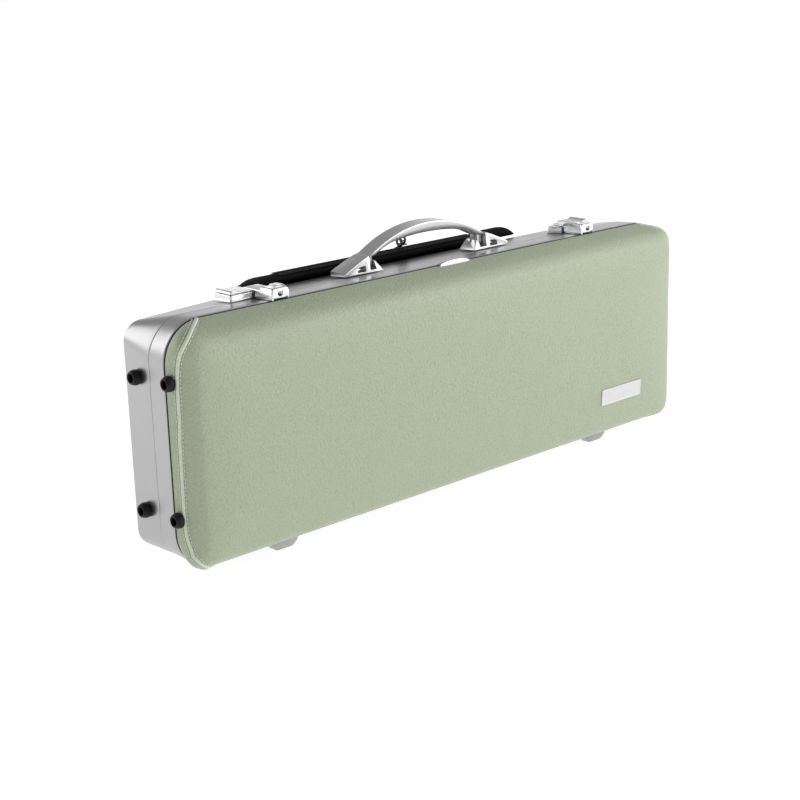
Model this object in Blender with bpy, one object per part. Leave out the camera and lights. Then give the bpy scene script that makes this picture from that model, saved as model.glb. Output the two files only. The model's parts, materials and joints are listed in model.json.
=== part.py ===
"""Oblong violin case standing on its hinge side.

+X runs along the case, -Y is the lid side, +Z is up. All named dimensions are in
millimetres and become metres when a mesh is made. Inside this script x is 0 at the
middle of the frames, y is 0 at the front edge of the lid's aluminium frame and z is 0
under the feet; ORIGIN moves that to the bottom centre of the bounding box.
"""

import math

import bmesh
import bpy
from mathutils import Matrix, Vector

for old in list(bpy.data.objects):
    bpy.data.objects.remove(old, do_unlink=True)

# ---------------------------------------------------------------- dimensions
HALF_LENGTH = 400.0  # half of the frames' length
OUTLINE_HEIGHT = 270.0  # height of the frames' outline
FOOT_HEIGHT = 14.0
CORNER_R = 46.0
LID_FRAME_DEPTH = 26.7
REAR_FRAME_START = 27.9
REAR_FRAME_END = 74.7
LID_DEPTH = 44.2  # how far the lid's dome stands out in front of its frame
REAR_DEPTH = 97.3
WALL = 3.2
SHOULDER = 6.0  # how far the rear half's long sides draw in toward its ends
GAP = 0.3
HINGE_Y, HINGE_Z = 27.3, 11.3
HINGE_X = (-190.0, 190.0)
HANDLE_X = 8.5  # middle of the handle
HANDLE_Y = 42.0
HANDLE_PIVOT_Z = 293.5
LATCH_X = (-288.0, 297.5)  # outer end of each latch housing; the pair is mirrored
FOOT_X = (-251.0, 284.0)
HASP_Y, HASP_Z = -1.8, 286.6
ORIGIN = (-4.1, 39.45, 0.0)  # bounding box centre in this script's x and y

ZB = FOOT_HEIGHT
ZT = FOOT_HEIGHT + OUTLINE_HEIGHT
MIDDLE_Z = (ZB + ZT) / 2

# ---------------------------------------------------------------- materials
COLOURS = {
    "leather_green": ((0.49, 0.53, 0.41, 1), 0.0, 0.55),
    "leather_piping": ((0.58, 0.62, 0.50, 1), 0.0, 0.5),
    "frame_aluminium": ((0.62, 0.62, 0.62, 1), 1.0, 0.35),
    "fitting_chrome": ((0.86, 0.86, 0.87, 1), 1.0, 0.15),
    "handle_metal": ((0.72, 0.72, 0.72, 1), 1.0, 0.25),
    "rubber_black": ((0.02, 0.02, 0.02, 1), 0.0, 0.7),
    "foot_plastic": ((0.62, 0.63, 0.64, 1), 0.0, 0.4),
    "plate_silver": ((0.85, 0.86, 0.86, 1), 0.3, 0.35),
    "fabric_black": ((0.015, 0.015, 0.017, 1), 0.0, 0.85),
    "zip_black": ((0.01, 0.01, 0.01, 1), 0.0, 0.45),
    "zip_metal": ((0.03, 0.03, 0.032, 1), 0.8, 0.35),
    "lining_grey": ((0.20, 0.21, 0.22, 1), 0.0, 0.95),
    "cushion_grey": ((0.27, 0.28, 0.29, 1), 0.0, 0.95),
    "strap_black": ((0.02, 0.02, 0.02, 1), 0.0, 0.8),
    "knob_black": ((0.02, 0.02, 0.02, 1), 0.0, 0.35),
}
MATERIALS = {}
for key, (rgba, metal, rough) in COLOURS.items():
    mat = bpy.data.materials.new(key)
    mat.use_nodes = True
    shader = mat.node_tree.nodes["Principled BSDF"]
    shader.inputs["Base Color"].default_value = rgba
    shader.inputs["Metallic"].default_value = metal
    shader.inputs["Roughness"].default_value = rough
    mat.diffuse_color = rgba
    MATERIALS[key] = mat


# ---------------------------------------------------------------- mesh helpers
def to_world(p):
    return Vector(
        ((p[0] - ORIGIN[0]) / 1000, (p[1] - ORIGIN[1]) / 1000, (p[2] - ORIGIN[2]) / 1000)
    )


def finish(bm, name, material, origin=None, smooth=False):
    """Turns a bmesh in script millimetres into a named object."""
    for v in bm.verts:
        v.co = to_world(v.co)
    bmesh.ops.recalc_face_normals(bm, faces=bm.faces)
    mesh = bpy.data.meshes.new(name)
    bm.to_mesh(mesh)
    bm.free()
    obj = bpy.data.objects.new(name, mesh)
    bpy.context.scene.collection.objects.link(obj)
    if material:
        mesh.materials.append(MATERIALS[material])
    if origin is not None:
        place = to_world(origin)
        mesh.transform(Matrix.Translation(-place))
        obj.location = place
    for poly in mesh.polygons:
        poly.use_smooth = smooth
    return obj


def new_bmesh(points, faces):
    bm = bmesh.new()
    verts = [bm.verts.new(p) for p in points]
    for face in faces:
        bm.faces.new([verts[i] for i in face])
    return bm


def loft(rings, closed_loop=False, caps=True):
    """Skins rings of equal point counts; closed_loop joins the last to the first."""
    n = len(rings[0])
    points = [p for ring in rings for p in ring]
    faces = []
    m = len(rings)
    for k in range(m if closed_loop else m - 1):
        a, b = k * n, ((k + 1) % m) * n
        for i in range(n):
            j = (i + 1) % n
            faces.append((a + i, a + j, b + j, b + i))
    if not closed_loop and caps:
        faces.append(tuple(range(n)))
        faces.append(tuple((m - 1) * n + i for i in range(n)))
    return new_bmesh(points, faces)


def bevelled(bm, width, segments=1, angle=35):
    if width > 0:
        limit = math.radians(angle)
        edges = [e for e in bm.edges if len(e.link_faces) == 2 and e.calc_face_angle(0) > limit]
        bmesh.ops.bevel(
            bm, geom=edges, offset=width, offset_type="OFFSET", segments=segments,
            profile=0.5, affect="EDGES", clamp_overlap=True,
        )
    return bm


def box_mesh(x0, x1, y0, y1, z0, z1, bevel=0.0, segments=1):
    pts = [(x, y, z) for z in (z0, z1) for y in (y0, y1) for x in (x0, x1)]
    faces = [(0, 1, 3, 2), (4, 6, 7, 5), (0, 4, 5, 1), (2, 3, 7, 6), (0, 2, 6, 4), (1, 5, 7, 3)]
    bm = new_bmesh(pts, faces)
    bmesh.ops.recalc_face_normals(bm, faces=bm.faces)
    return bevelled(bm, bevel, segments)


def box(name, mat, x0, x1, y0, y1, z0, z1, bevel=0.0, segments=1, origin=None):
    return finish(box_mesh(x0, x1, y0, y1, z0, z1, bevel, segments), name, mat, origin)


def prism_mesh(poly, axis, a0, a1, bevel=0.0, segments=1):
    """Extrudes a polygon: axis X takes (y, z) points, Y takes (x, z), Z takes (x, y)."""

    def at(p, a):
        return {"X": (a, p[0], p[1]), "Y": (p[0], a, p[1]), "Z": (p[0], p[1], a)}[axis]

    n = len(poly)
    pts = [at(p, a0) for p in poly] + [at(p, a1) for p in poly]
    faces = [tuple(range(n)), tuple(range(n, 2 * n))]
    faces += [(i, (i + 1) % n, n + (i + 1) % n, n + i) for i in range(n)]
    bm = new_bmesh(pts, faces)
    bmesh.ops.recalc_face_normals(bm, faces=bm.faces)
    return bevelled(bm, bevel, segments)


def prism(name, mat, poly, axis, a0, a1, bevel=0.0, segments=1, origin=None):
    return finish(prism_mesh(poly, axis, a0, a1, bevel, segments), name, mat, origin)


def circle(c, r, n=20, start=0.0):
    return [
        (c[0] + r * math.cos(start + 2 * math.pi * i / n), c[1] + r * math.sin(start + 2 * math.pi * i / n))
        for i in range(n)
    ]


def lathe_x(profile, y, z, n=20):
    """Body of revolution about a line along X; profile is (x, radius) from one end to the other."""
    return loft([[(x, *p) for p in circle((y, z), r, n)] for x, r in profile])


def lathe_y(profile, x, z, n=20):
    return loft([[(p[0], y, p[1]) for p in circle((x, z), r, n)] for y, r in profile])


def cutter(bm, name):
    obj = finish(bm, name, None)
    obj.hide_render = True
    obj.display_type = "WIRE"
    return obj


def boolean(obj, other, operation):
    mod = obj.modifiers.new("cut", "BOOLEAN")
    mod.operation = operation
    mod.solver = "EXACT"
    mod.object = other


def cut(obj, bm, name):
    boolean(obj, cutter(bm, name), "DIFFERENCE")


def fuse(obj, bm, name):
    boolean(obj, cutter(bm, name), "UNION")


# ---------------------------------------------------------------- case outline
CORNER_STEPS, LONG_STEPS, SHORT_STEPS = 7, 7, 3


def outline(side, top, bottom, r):
    """Rounded rectangle in XZ, inset from the frames' outline; always the same point count."""
    x0, x1 = -HALF_LENGTH + side, HALF_LENGTH - side
    z0, z1 = ZB + bottom, ZT - top
    pts = []
    corners = (
        (x1 - r, z1 - r, 0, SHORT_STEPS), (x0 + r, z1 - r, 90, LONG_STEPS),
        (x0 + r, z0 + r, 180, SHORT_STEPS), (x1 - r, z0 + r, 270, LONG_STEPS),
    )
    ends = []
    for cx, cz, a0, _ in corners:
        ends.append([
            (cx + r * math.cos(math.radians(a0 + 90 * i / CORNER_STEPS)), cz + r * math.sin(math.radians(a0 + 90 * i / CORNER_STEPS)))
            for i in range(CORNER_STEPS + 1)
        ])
    steps_after = (LONG_STEPS, SHORT_STEPS, LONG_STEPS, SHORT_STEPS)
    for k in range(4):
        pts += ends[k]
        a, b = ends[k][-1], ends[(k + 1) % 4][0]
        for i in range(1, steps_after[k]):
            t = i / steps_after[k]
            pts.append((a[0] + (b[0] - a[0]) * t, a[1] + (b[1] - a[1]) * t))
    return pts


def ring(side, top, bottom, r, y):
    return [(x, y, z) for x, z in outline(side, top, bottom, r)]


def uniform(inset, y, r=None):
    return ring(inset, inset, inset, (CORNER_R - inset) if r is None else r, y)


# ---------------------------------------------------------------- frames
def rear_inset(y):
    """Side and top inset of the rear frame's outside, which tapers toward the back."""
    t = (y - REAR_FRAME_START) / (REAR_FRAME_END - REAR_FRAME_START)
    return 0.9 + 1.9 * t, 0.9 + 4.0 * t


def shouldered(points, k):
    """Draws the long sides in by up to k * SHOULDER millimetres toward both ends."""
    middle = (ZB + ZT) / 2
    moved = []
    for x, y, z in points:
        drop = SHOULDER * k * min(max((abs(x) - 290.0) / 105.0, 0.0), 1.0) ** 1.2
        moved.append((x, y, z - math.copysign(drop, z - middle) * min(abs(z - middle) / 90.0, 1.0)))
    return moved


def rear_ring(y, extra=0.0):
    s, t = rear_inset(y)
    k = (y - REAR_FRAME_START) / (REAR_FRAME_END - REAR_FRAME_START)
    return shouldered(ring(s + extra, t + extra, t + extra, CORNER_R - 25.0 * k - extra, y), k)


finish(
    loft([
        uniform(0.9, 0.0), uniform(0.1, 0.9), uniform(0.0, 3.0), uniform(0.35, 13.0), uniform(0.9, 25.4),
        uniform(1.9, LID_FRAME_DEPTH), uniform(5.0, LID_FRAME_DEPTH), uniform(5.0, 0.0),
    ], closed_loop=True),
    "lid_frame", "frame_aluminium",
)
finish(
    loft([
        uniform(2.1, 27.0), uniform(2.1, 27.6), uniform(4.8, 27.6), uniform(4.8, 27.0),
    ], closed_loop=True),
    "frame_seal", "rubber_black",
)
finish(
    loft([
        rear_ring(REAR_FRAME_START, 1.0), rear_ring(REAR_FRAME_START + 1.3), rear_ring(44), rear_ring(60),
        rear_ring(REAR_FRAME_END - 1.3), rear_ring(REAR_FRAME_END, 1.2),
        rear_ring(REAR_FRAME_END, 4.6), rear_ring(44, 4.4), rear_ring(REAR_FRAME_START, 4.3),
    ], closed_loop=True),
    "rear_frame", "frame_aluminium",
)
finish(
    loft([
        uniform(0.9, -2.2), uniform(0.9, -GAP), uniform(4.6, -GAP), uniform(4.6, -2.2),
    ], closed_loop=True),
    "lid_gasket", "rubber_black",
)
# ---------------------------------------------------------------- lid dome
# side, top and bottom inset, corner radius, y
LID_RINGS = (
    (0.6, 0.6, 0.6, 45.0, -2.5),
    (1.0, 3.4, 2.6, 32.0, -9.0),
    (2.5, 8.0, 6.4, 19.0, -19.0),
    (7.6, 13.0, 10.8, 16.0, -27.0),
    (14.5, 19.0, 15.5, 16.0, -33.2),
    (23.5, 26.5, 22.5, 18.0, -37.8),
    (38.0, 42.0, 37.0, 19.0, -41.2),
    (62.0, 64.0, 60.0, 19.0, -43.2),
    (98.0, 92.0, 90.0, 18.0, -LID_DEPTH),
)


def lid_ring(k, extra=0.0, dy=0.0):
    s, t, b, r, y = LID_RINGS[k]
    return ring(s + extra, t + extra, b + extra, max(r - extra, 6), y + dy)


def lid_inner(wall):
    """Inside of a dome wall: offset in the wide rings by depth, at the rim by inset."""
    rings = []
    for k, (s, t, b, r, y) in enumerate(LID_RINGS):
        w = min(k / 5.0, 1.0)
        grow = wall * (1.15 - 0.55 * w)
        rings.append(ring(s + grow, t + grow, b + grow, max(r - grow, 6), y + wall * w * 1.0))
    return rings


outer = [lid_ring(k) for k in range(len(LID_RINGS))]
inner = lid_inner(WALL)
finish(loft(outer[::-1] + inner), "lid_shell", "leather_green")

lining_out = lid_inner(WALL + 0.6)
lining_in = lid_inner(WALL + 3.4)
first = uniform(5.5, 25.2, 40.5)
second = uniform(5.5, -2.8, 40.5)
rim_in = uniform(8.3, 25.2, 37.7)
second_in = uniform(8.3, -2.8, 37.7)
finish(
    loft(lining_out[::-1][:-2] + [second, first, rim_in, second_in] + lining_in[2:]),
    "lid_lining", "lining_grey",
)

# ---------------------------------------------------------------- rear shell
REAR_RINGS = (
    (4.0, 6.2, 6.2, 20.0, 75.0),
    (10.0, 10.0, 10.0, 20.0, 82.0),
    (15.6, 15.6, 15.6, 21.0, 88.5),
    (24.0, 24.0, 24.0, 23.0, 93.5),
    (38.0, 38.0, 38.0, 25.0, 96.4),
    (60.0, 60.0, 60.0, 24.0, REAR_DEPTH),
)


def rear_inner(wall):
    rings = []
    for k, (s, t, b, r, y) in enumerate(REAR_RINGS):
        w = min(k / 3.0, 1.0)
        grow = wall * (1.15 - 0.55 * w)
        rings.append(shouldered(ring(s + grow, t + grow, b + grow, max(r - grow, 6), y - wall * w), 1.0))
    return rings


rear_outer = [shouldered(ring(s, t, b, r, y), 1.0) for s, t, b, r, y in REAR_RINGS]
finish(loft(rear_outer[::-1] + rear_inner(WALL)), "rear_shell", "leather_green")

base_out = rear_inner(WALL + 0.6)
base_in = rear_inner(WALL + 3.6)
finish(
    loft(
        base_out[::-1][:-1]
        + [rear_ring(74.0, 5.6), rear_ring(29.0, 5.0), rear_ring(29.0, 8.0), rear_ring(74.0, 8.6)]
        + base_in[1:]
    ),
    "base_lining", "lining_grey",
)


# ---------------------------------------------------------------- piping over the lid's end seams
def lid_point(u, y):
    """Point on the lid's side wall at outline position u and depth y, with its outward direction."""
    n = len(outer[0])
    i = math.floor(u)
    f = u - i

    def on(k, j):
        return Vector(outer[k][j % n])

    for k in range(5):
        y0, y1 = LID_RINGS[k][4], LID_RINGS[k + 1][4]
        if y1 <= y <= y0:
            t = (y - y0) / (y1 - y0)
            near = on(k, i).lerp(on(k, i + 1), f)
            far = on(k + 1, i).lerp(on(k + 1, i + 1), f)
            before = on(k, i).lerp(on(k + 1, i), t)
            after = on(k, i + 1).lerp(on(k + 1, i + 1), t)
            normal = (after - before).cross(far - near).normalized()
            if normal.dot(near - Vector((0, 0, MIDDLE_Z))) < 0:
                normal.negate()
            return near.lerp(far, t), normal
    return None


# the seam's way round one end: outline position from the top corner's start, and depth
SEAM = (
    (0.3, -4.8), (0.12, -8.0), (0.05, -11.5), (0.12, -16.0), (0.36, -20.4), (0.9, -22.4), (1.7, -23.2), (2.8, -23.9), (4.0, -24.1),
    (5.2, -23.7), (6.3, -22.6), (7.05, -21.0), (7.3, -19.4), (7.6, -18.5), (8.3, -18.1), (8.9, -17.6), (9.3, -17.2), (9.6, -17.5),
    (9.74, -19.2), (9.86, -21.6), (9.97, -24.2), (11.2, -26.8), (12.6, -27.9), (14.0, -28.3), (15.4, -28.2), (16.3, -26.8), (16.75, -22.0),
    (16.95, -14.0), (17.05, -4.8),
)
TOP_LEFT = CORNER_STEPS + 1 + LONG_STEPS - 1  # outline position where the left top corner starts


def piping(name, left):
    path = []
    for t, y in SEAM:
        path.append(lid_point(TOP_LEFT + t if left else CORNER_STEPS - t, y))
    rings = []
    last = len(path) - 1
    for k, (p, normal) in enumerate(path):
        a = path[max(k - 1, 0)][0]
        b = path[min(k + 1, last)][0]
        along = (b - a).normalized()
        sideways = along.cross(normal).normalized()
        up = sideways.cross(along).normalized()
        if up.dot(normal) < 0:
            up.negate()
        tall = min(1.0, 0.45 + 0.2 * min(k, last - k))
        ring_pts = []
        for u, v in ((-2.3, 0.0), (2.3, 0.0), (2.1, 0.8), (1.1, 1.7), (0.0, 2.0), (-1.1, 1.7), (-2.1, 0.8)):
            ring_pts.append(tuple(p + sideways * u + up * (1.15 + v * tall)))
        rings.append(ring_pts)
    finish(loft(rings), name, "leather_piping")


piping("piping_left", True)
piping("piping_right", False)

# ---------------------------------------------------------------- name plate
def lid_face_y(z, x):
    """Depth of the lid's face near the name plate, from the rings."""
    best = -LID_DEPTH
    for k in range(len(LID_RINGS) - 1):
        s0, _, b0, _, y0 = LID_RINGS[k]
        s1, _, b1, _, y1 = LID_RINGS[k + 1]
        for d, i0, i1 in ((z - ZB, b0, b1), (HALF_LENGTH - abs(x), s0, s1)):
            if i0 <= d <= i1:
                best = max(best, y0 + (y1 - y0) * (d - i0) / (i1 - i0))
    return best


PLATE = (238.5, 317.0, 66.5, 87.3)
px0, px1, pz0, pz1 = PLATE
plate_rings = []
for lift in (0.45, 1.45):
    pts = []
    cols = 6
    for z in (pz0, pz1):
        order = range(cols + 1) if z == pz0 else range(cols, -1, -1)
        for c in order:
            x = px0 + (px1 - px0) * c / cols
            pts.append((x, lid_face_y(z, x) - lift, z))
    plate_rings.append(pts)
finish(loft(plate_rings), "name_plate", "plate_silver")

# ---------------------------------------------------------------- finger tab on the lid's top edge
tab = [(-9.0, -5.2), (41.0, -5.2)]
tab += [(16.0 + 25.0 * math.cos(a), -5.2 + 15.5 * math.sin(a)) for a in [math.pi * k / 12 for k in range(1, 12)]]
tab_obj = finish(bevelled(prism_mesh(tab, "Z", 284.35, 286.6), 0.7), "finger_tab", "fitting_chrome")

# ---------------------------------------------------------------- bumpers on the left end
def bumper(name, y, z, base_x, base_r):
    tip = base_x - 9.2
    profile = [
        (base_x, base_r - 0.8), (base_x - 1.4, base_r), (base_x - 2.0, 8.2), (base_x - 4.2, 8.4), (tip + 1.6, 6.0), (tip + 0.5, 5.3),
        (tip, 4.6), (tip + 0.4, 3.8), (base_x - 3.6, 3.3),
    ]
    finish(lathe_x(profile, y, z, 18), name, "rubber_black")


for place, z in (("upper", 222.0), ("lower", 76.0)):
    bumper("bumper_rear_" + place, 49.8, z - 1.2, -398.6, 7.0)
    bumper("bumper_front_" + place, -12.0, z + (3.0 if place == "upper" else 2.6), -399.8, 3.7)


# ---------------------------------------------------------------- feet
def foot(name, x, y0, y1, top):
    half_top, half_bottom = 22.0, 12.5
    rings = []
    for z, h, dy in ((0.0, half_bottom - 1.0, 1.6), (1.2, half_bottom, 0.6), (6.0, half_bottom + 5.0, 0.0), (top, half_top, 0.0)):
        r = 1.5
        pts = []
        for sx, sy in ((-1, -1), (1, -1), (1, 1), (-1, 1)):
            cx, cy = x + sx * (h - r), (y0 + dy + r if sy < 0 else y1 - dy - r)
            quarter = [(sx * r, 0), (0, sy * r)] if sx * sy > 0 else [(0, sy * r), (sx * r, 0)]
            pts += [(cx + qx, cy + qy, z) for qx, qy in quarter]
        rings.append(pts)
    finish(loft(rings), name, "foot_plastic")


for label, x in zip(("left", "right"), FOOT_X):
    foot("foot_front_" + label, x, 3.5, 20.5, ZB - 0.4)
    foot("foot_rear_" + label, x, 42.0, 66.0, ZB + 1.0)


# ---------------------------------------------------------------- hinges under the frames
KNUCKLE_R, HINGE_BORE_R, HINGE_PIN_R = 3.0, 1.34, 1.27
for label, hx in zip(("left", "right"), HINGE_X):
    spans = [(-34 + i * 13.6, -34 + (i + 1) * 13.6) for i in range(5)]
    for part, picks, y_in, y_out, z_under in (("base", (0, 2, 4), 28.6, 40.0, 14.35), ("lid", (1, 3), 26.0, 12.0, 14.2)):
        plate_z0, plate_z1 = z_under - 1.7, z_under - 0.1
        leaf = box_mesh(hx - 34, hx + 34, min(y_in + (2.6 if part == "base" else -2.6), y_out), max(y_in + (2.6 if part == "base" else -2.6), y_out), plate_z0, plate_z1, 0.3)
        obj = finish(leaf, f"hinge_{part}_{label}", "fitting_chrome")
        for k in picks:
            a, b = hx + spans[k][0] + 0.2, hx + spans[k][1] - 0.2
            reach = (HINGE_Y, y_in + (3.4 if part == "base" else -3.4))
            poly = circle((HINGE_Y, HINGE_Z), KNUCKLE_R, 16)
            fuse(obj, prism_mesh(poly, "X", a, b), f"knuckle_{part}_{label}_{k}")
            lo, hi = min(reach), max(reach)
            fuse(obj, box_mesh(a, b, lo, hi, plate_z0 + 0.05, plate_z1 - 0.05), f"web_{part}_{label}_{k}")
        cut(obj, prism_mesh(circle((HINGE_Y, HINGE_Z), HINGE_BORE_R, 16), "X", hx - 40, hx + 40), f"bore_{part}_{label}")
    prism(f"hinge_pin_{label}", "fitting_chrome", circle((HINGE_Y, HINGE_Z), HINGE_PIN_R, 16), "X", hx - 33.6, hx + 33.6)


# ---------------------------------------------------------------- handle
def mirror_x(x):
    return 2 * HANDLE_X - x


def bracket(name, left):
    m = (lambda x: x) if left else mirror_x
    base = [(-125.0, 284.6), (-125.4, 288.4), (-122.0, 290.4), (-108.0, 296.4), (-98.0, 300.6), (-90.0, 303.4), (-87.6, 303.9), (-87.6, 287.0), (-77.4, 287.0), (-77.4, 296.5), (-74.4, 295.4), (-67.5, 284.6)]
    rows = []
    # front to back stations with how much the sides draw in at each height
    for y, draw in ((28.2, 1.0), (30.0, 0.0), (54.0, 0.0), (55.8, 1.0)):
        mid = HANDLE_Y
        pts = []
        for x, z in base:
            h = (z - 284.6) / 19.3
            yy = mid + (y - mid) * (1.0 - 0.16 * h)
            zz = z
            if z < 285.0:
                zz = 284.55 - 0.068 * (y - 28.0)
            elif z > 288.0 and not (-88.0 < x < -77.0 and z < 290):
                zz = z - draw * 0.8
            if -77.5 <= x <= -74.0 and z > 290:
                yy = mid + (y - mid) * 0.62
            pts.append((m(x), yy, zz))
        rows.append(pts)
    obj = finish(loft(rows), name, "handle_metal")
    slot = [(-107.0, 286.4), (-94.0, 286.4), (-94.0, 292.0), (-96.0, 293.4), (-104.5, 292.6), (-107.0, 290.5)]
    cut(obj, prism_mesh([(m(x), z) for x, z in slot], "Y", 20, 64), name + "_slot")
    a, b = sorted((m(-96.0), m(-60.0)))
    cut(obj, prism_mesh(circle((HANDLE_Y, HANDLE_PIVOT_Z), 1.97, 16), "X", max(a, m(-93.2)) if left else a, b if left else min(b, m(-93.2))), name + "_bore")
    pin = prism_mesh(circle((HANDLE_Y, HANDLE_PIVOT_Z), 1.9, 16), "X", *sorted((m(-92.8), m(-76.0))))
    finish(pin, name.replace("bracket", "pin"), "fitting_chrome")
    x0, x1 = sorted((m(-106.6), m(-94.4)))
    prism(name.replace("handle_bracket", "strap_bar"), "fitting_chrome", circle((36.0, 288.6), 1.7, 12), "X", x0, x1)


bracket("handle_bracket_left", True)
bracket("handle_bracket_right", False)


def grip_top(u):
    """Height of the grip's top at u = distance from its middle."""
    return 330.2 - (178.0 - math.sqrt(178.0**2 - u * u))


def grip_bottom(u):
    a = abs(u)
    if a <= 60:
        return 317.2 - 5.4 * (a / 60.0) ** 2.2
    if a <= 86:
        t = (a - 60.0) / 26.0
        return 311.8 - 11.0 * t**1.15
    return 300.8


stations = [-95.6, -92.0, -88.0, -82.0, -75.0, -66.0, -55.0, -42.0, -28.0, -14.0, 0.0]
stations += [-s for s in reversed(stations[:-1])]
grip_rings = []
for u in stations:
    zt, zb = grip_top(u), grip_bottom(u)
    half = 12.0 - 0.8 * (abs(u) / 95.6) ** 2
    t = zt - zb
    sec = [
        (-half + 2.2, zt), (half - 2.2, zt), (half - 0.5, zt - 0.8), (half, zt - 2.4), (half - 0.3, zb + 0.45 * t),
        (half - 2.6, zb + 0.12 * t), (half - 5.2, zb), (-half + 5.2, zb), (-half + 2.6, zb + 0.12 * t), (-half + 0.3, zb + 0.45 * t),
        (-half, zt - 2.4), (-half + 0.5, zt - 0.8),
    ]
    grip_rings.append([(HANDLE_X + u, HANDLE_Y + y, z) for y, z in sec])
grip = finish(loft(grip_rings), "handle_grip", "handle_metal", origin=(HANDLE_X, HANDLE_Y, HANDLE_PIVOT_Z))
for side in (-1, 1):
    a, b = sorted((HANDLE_X + side * 95.4, HANDLE_X + side * 86.6))
    tang = [(HANDLE_Y + 6.0 * math.cos(t), HANDLE_PIVOT_Z + 6.0 * math.sin(t)) for t in [math.radians(d) for d in range(180, 361, 20)]]
    tang += [(HANDLE_Y + 6.0, 302.0), (HANDLE_Y - 6.0, 302.0)]
    fuse(grip, prism_mesh(tang, "X", a, b), f"tang_{side}")
    cut(grip, prism_mesh(circle((HANDLE_Y, HANDLE_PIVOT_Z), 1.97, 16), "X", a - 2, b + 2), f"tang_bore_{side}")


# ---------------------------------------------------------------- latches
def rounded(x0, x1, y0, y1, r, n=3):
    pts = []
    for cx, cy, a0 in ((x1 - r, y1 - r, 0), (x0 + r, y1 - r, 90), (x0 + r, y0 + r, 180), (x1 - r, y0 + r, 270)):
        pts += [(cx + r * math.cos(math.radians(a0 + 90 * i / n)), cy + r * math.sin(math.radians(a0 + 90 * i / n))) for i in range(n + 1)]
    return pts


def footprint_loft(levels, n=3):
    """levels: x0, x1, y0, y1, corner radius, z at y=28, fall of z per mm of y."""
    return loft([[(x, y, z - fall * (y - 28.0)) for x, y in rounded(x0, x1, y0, y1, r, n)] for x0, x1, y0, y1, r, z, fall in levels])


def shrunk(poly, d):
    """A convex polygon with every side moved in by d."""
    n = len(poly)
    area = sum(poly[i][0] * poly[(i + 1) % n][1] - poly[(i + 1) % n][0] * poly[i][1] for i in range(n))
    turn = 1.0 if area > 0 else -1.0
    lines = []
    for i in range(n):
        (ax, ay), (bx, by) = poly[i], poly[(i + 1) % n]
        length = math.hypot(bx - ax, by - ay)
        nx, ny = -(by - ay) / length * turn, (bx - ax) / length * turn
        lines.append((nx, ny, nx * ax + ny * ay + d))
    out = []
    for i in range(n):
        (a, b, c), (e, f, g) = lines[i - 1], lines[i]
        det = a * f - b * e
        out.append(((c * f - b * g) / det, (a * g - c * e) / det))
    return out


def softened(poly, r, n=3):
    """A convex polygon with each corner replaced by an arc-like run of n + 1 points."""
    out = []
    m = len(poly)
    for i in range(m):
        p, q, s = Vector(poly[i - 1]), Vector(poly[i]), Vector(poly[(i + 1) % m])
        a = q + (p - q).normalized() * r
        b = q + (s - q).normalized() * r
        for k in range(n + 1):
            t = k / n
            point = a * (1 - t) ** 2 + q * (2 * t * (1 - t)) + b * t * t
            out.append((point.x, point.y))
    return out


def plan_loft(poly, levels, r):
    """levels: inset, z at y=28 and fall of z per mm of y, over one plan outline."""
    rings = []
    for inset, z, fall in levels:
        rings.append([(x, y, z - fall * (y - 28.0)) for x, y in softened(shrunk(poly, inset), r)])
    return loft(rings)


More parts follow.
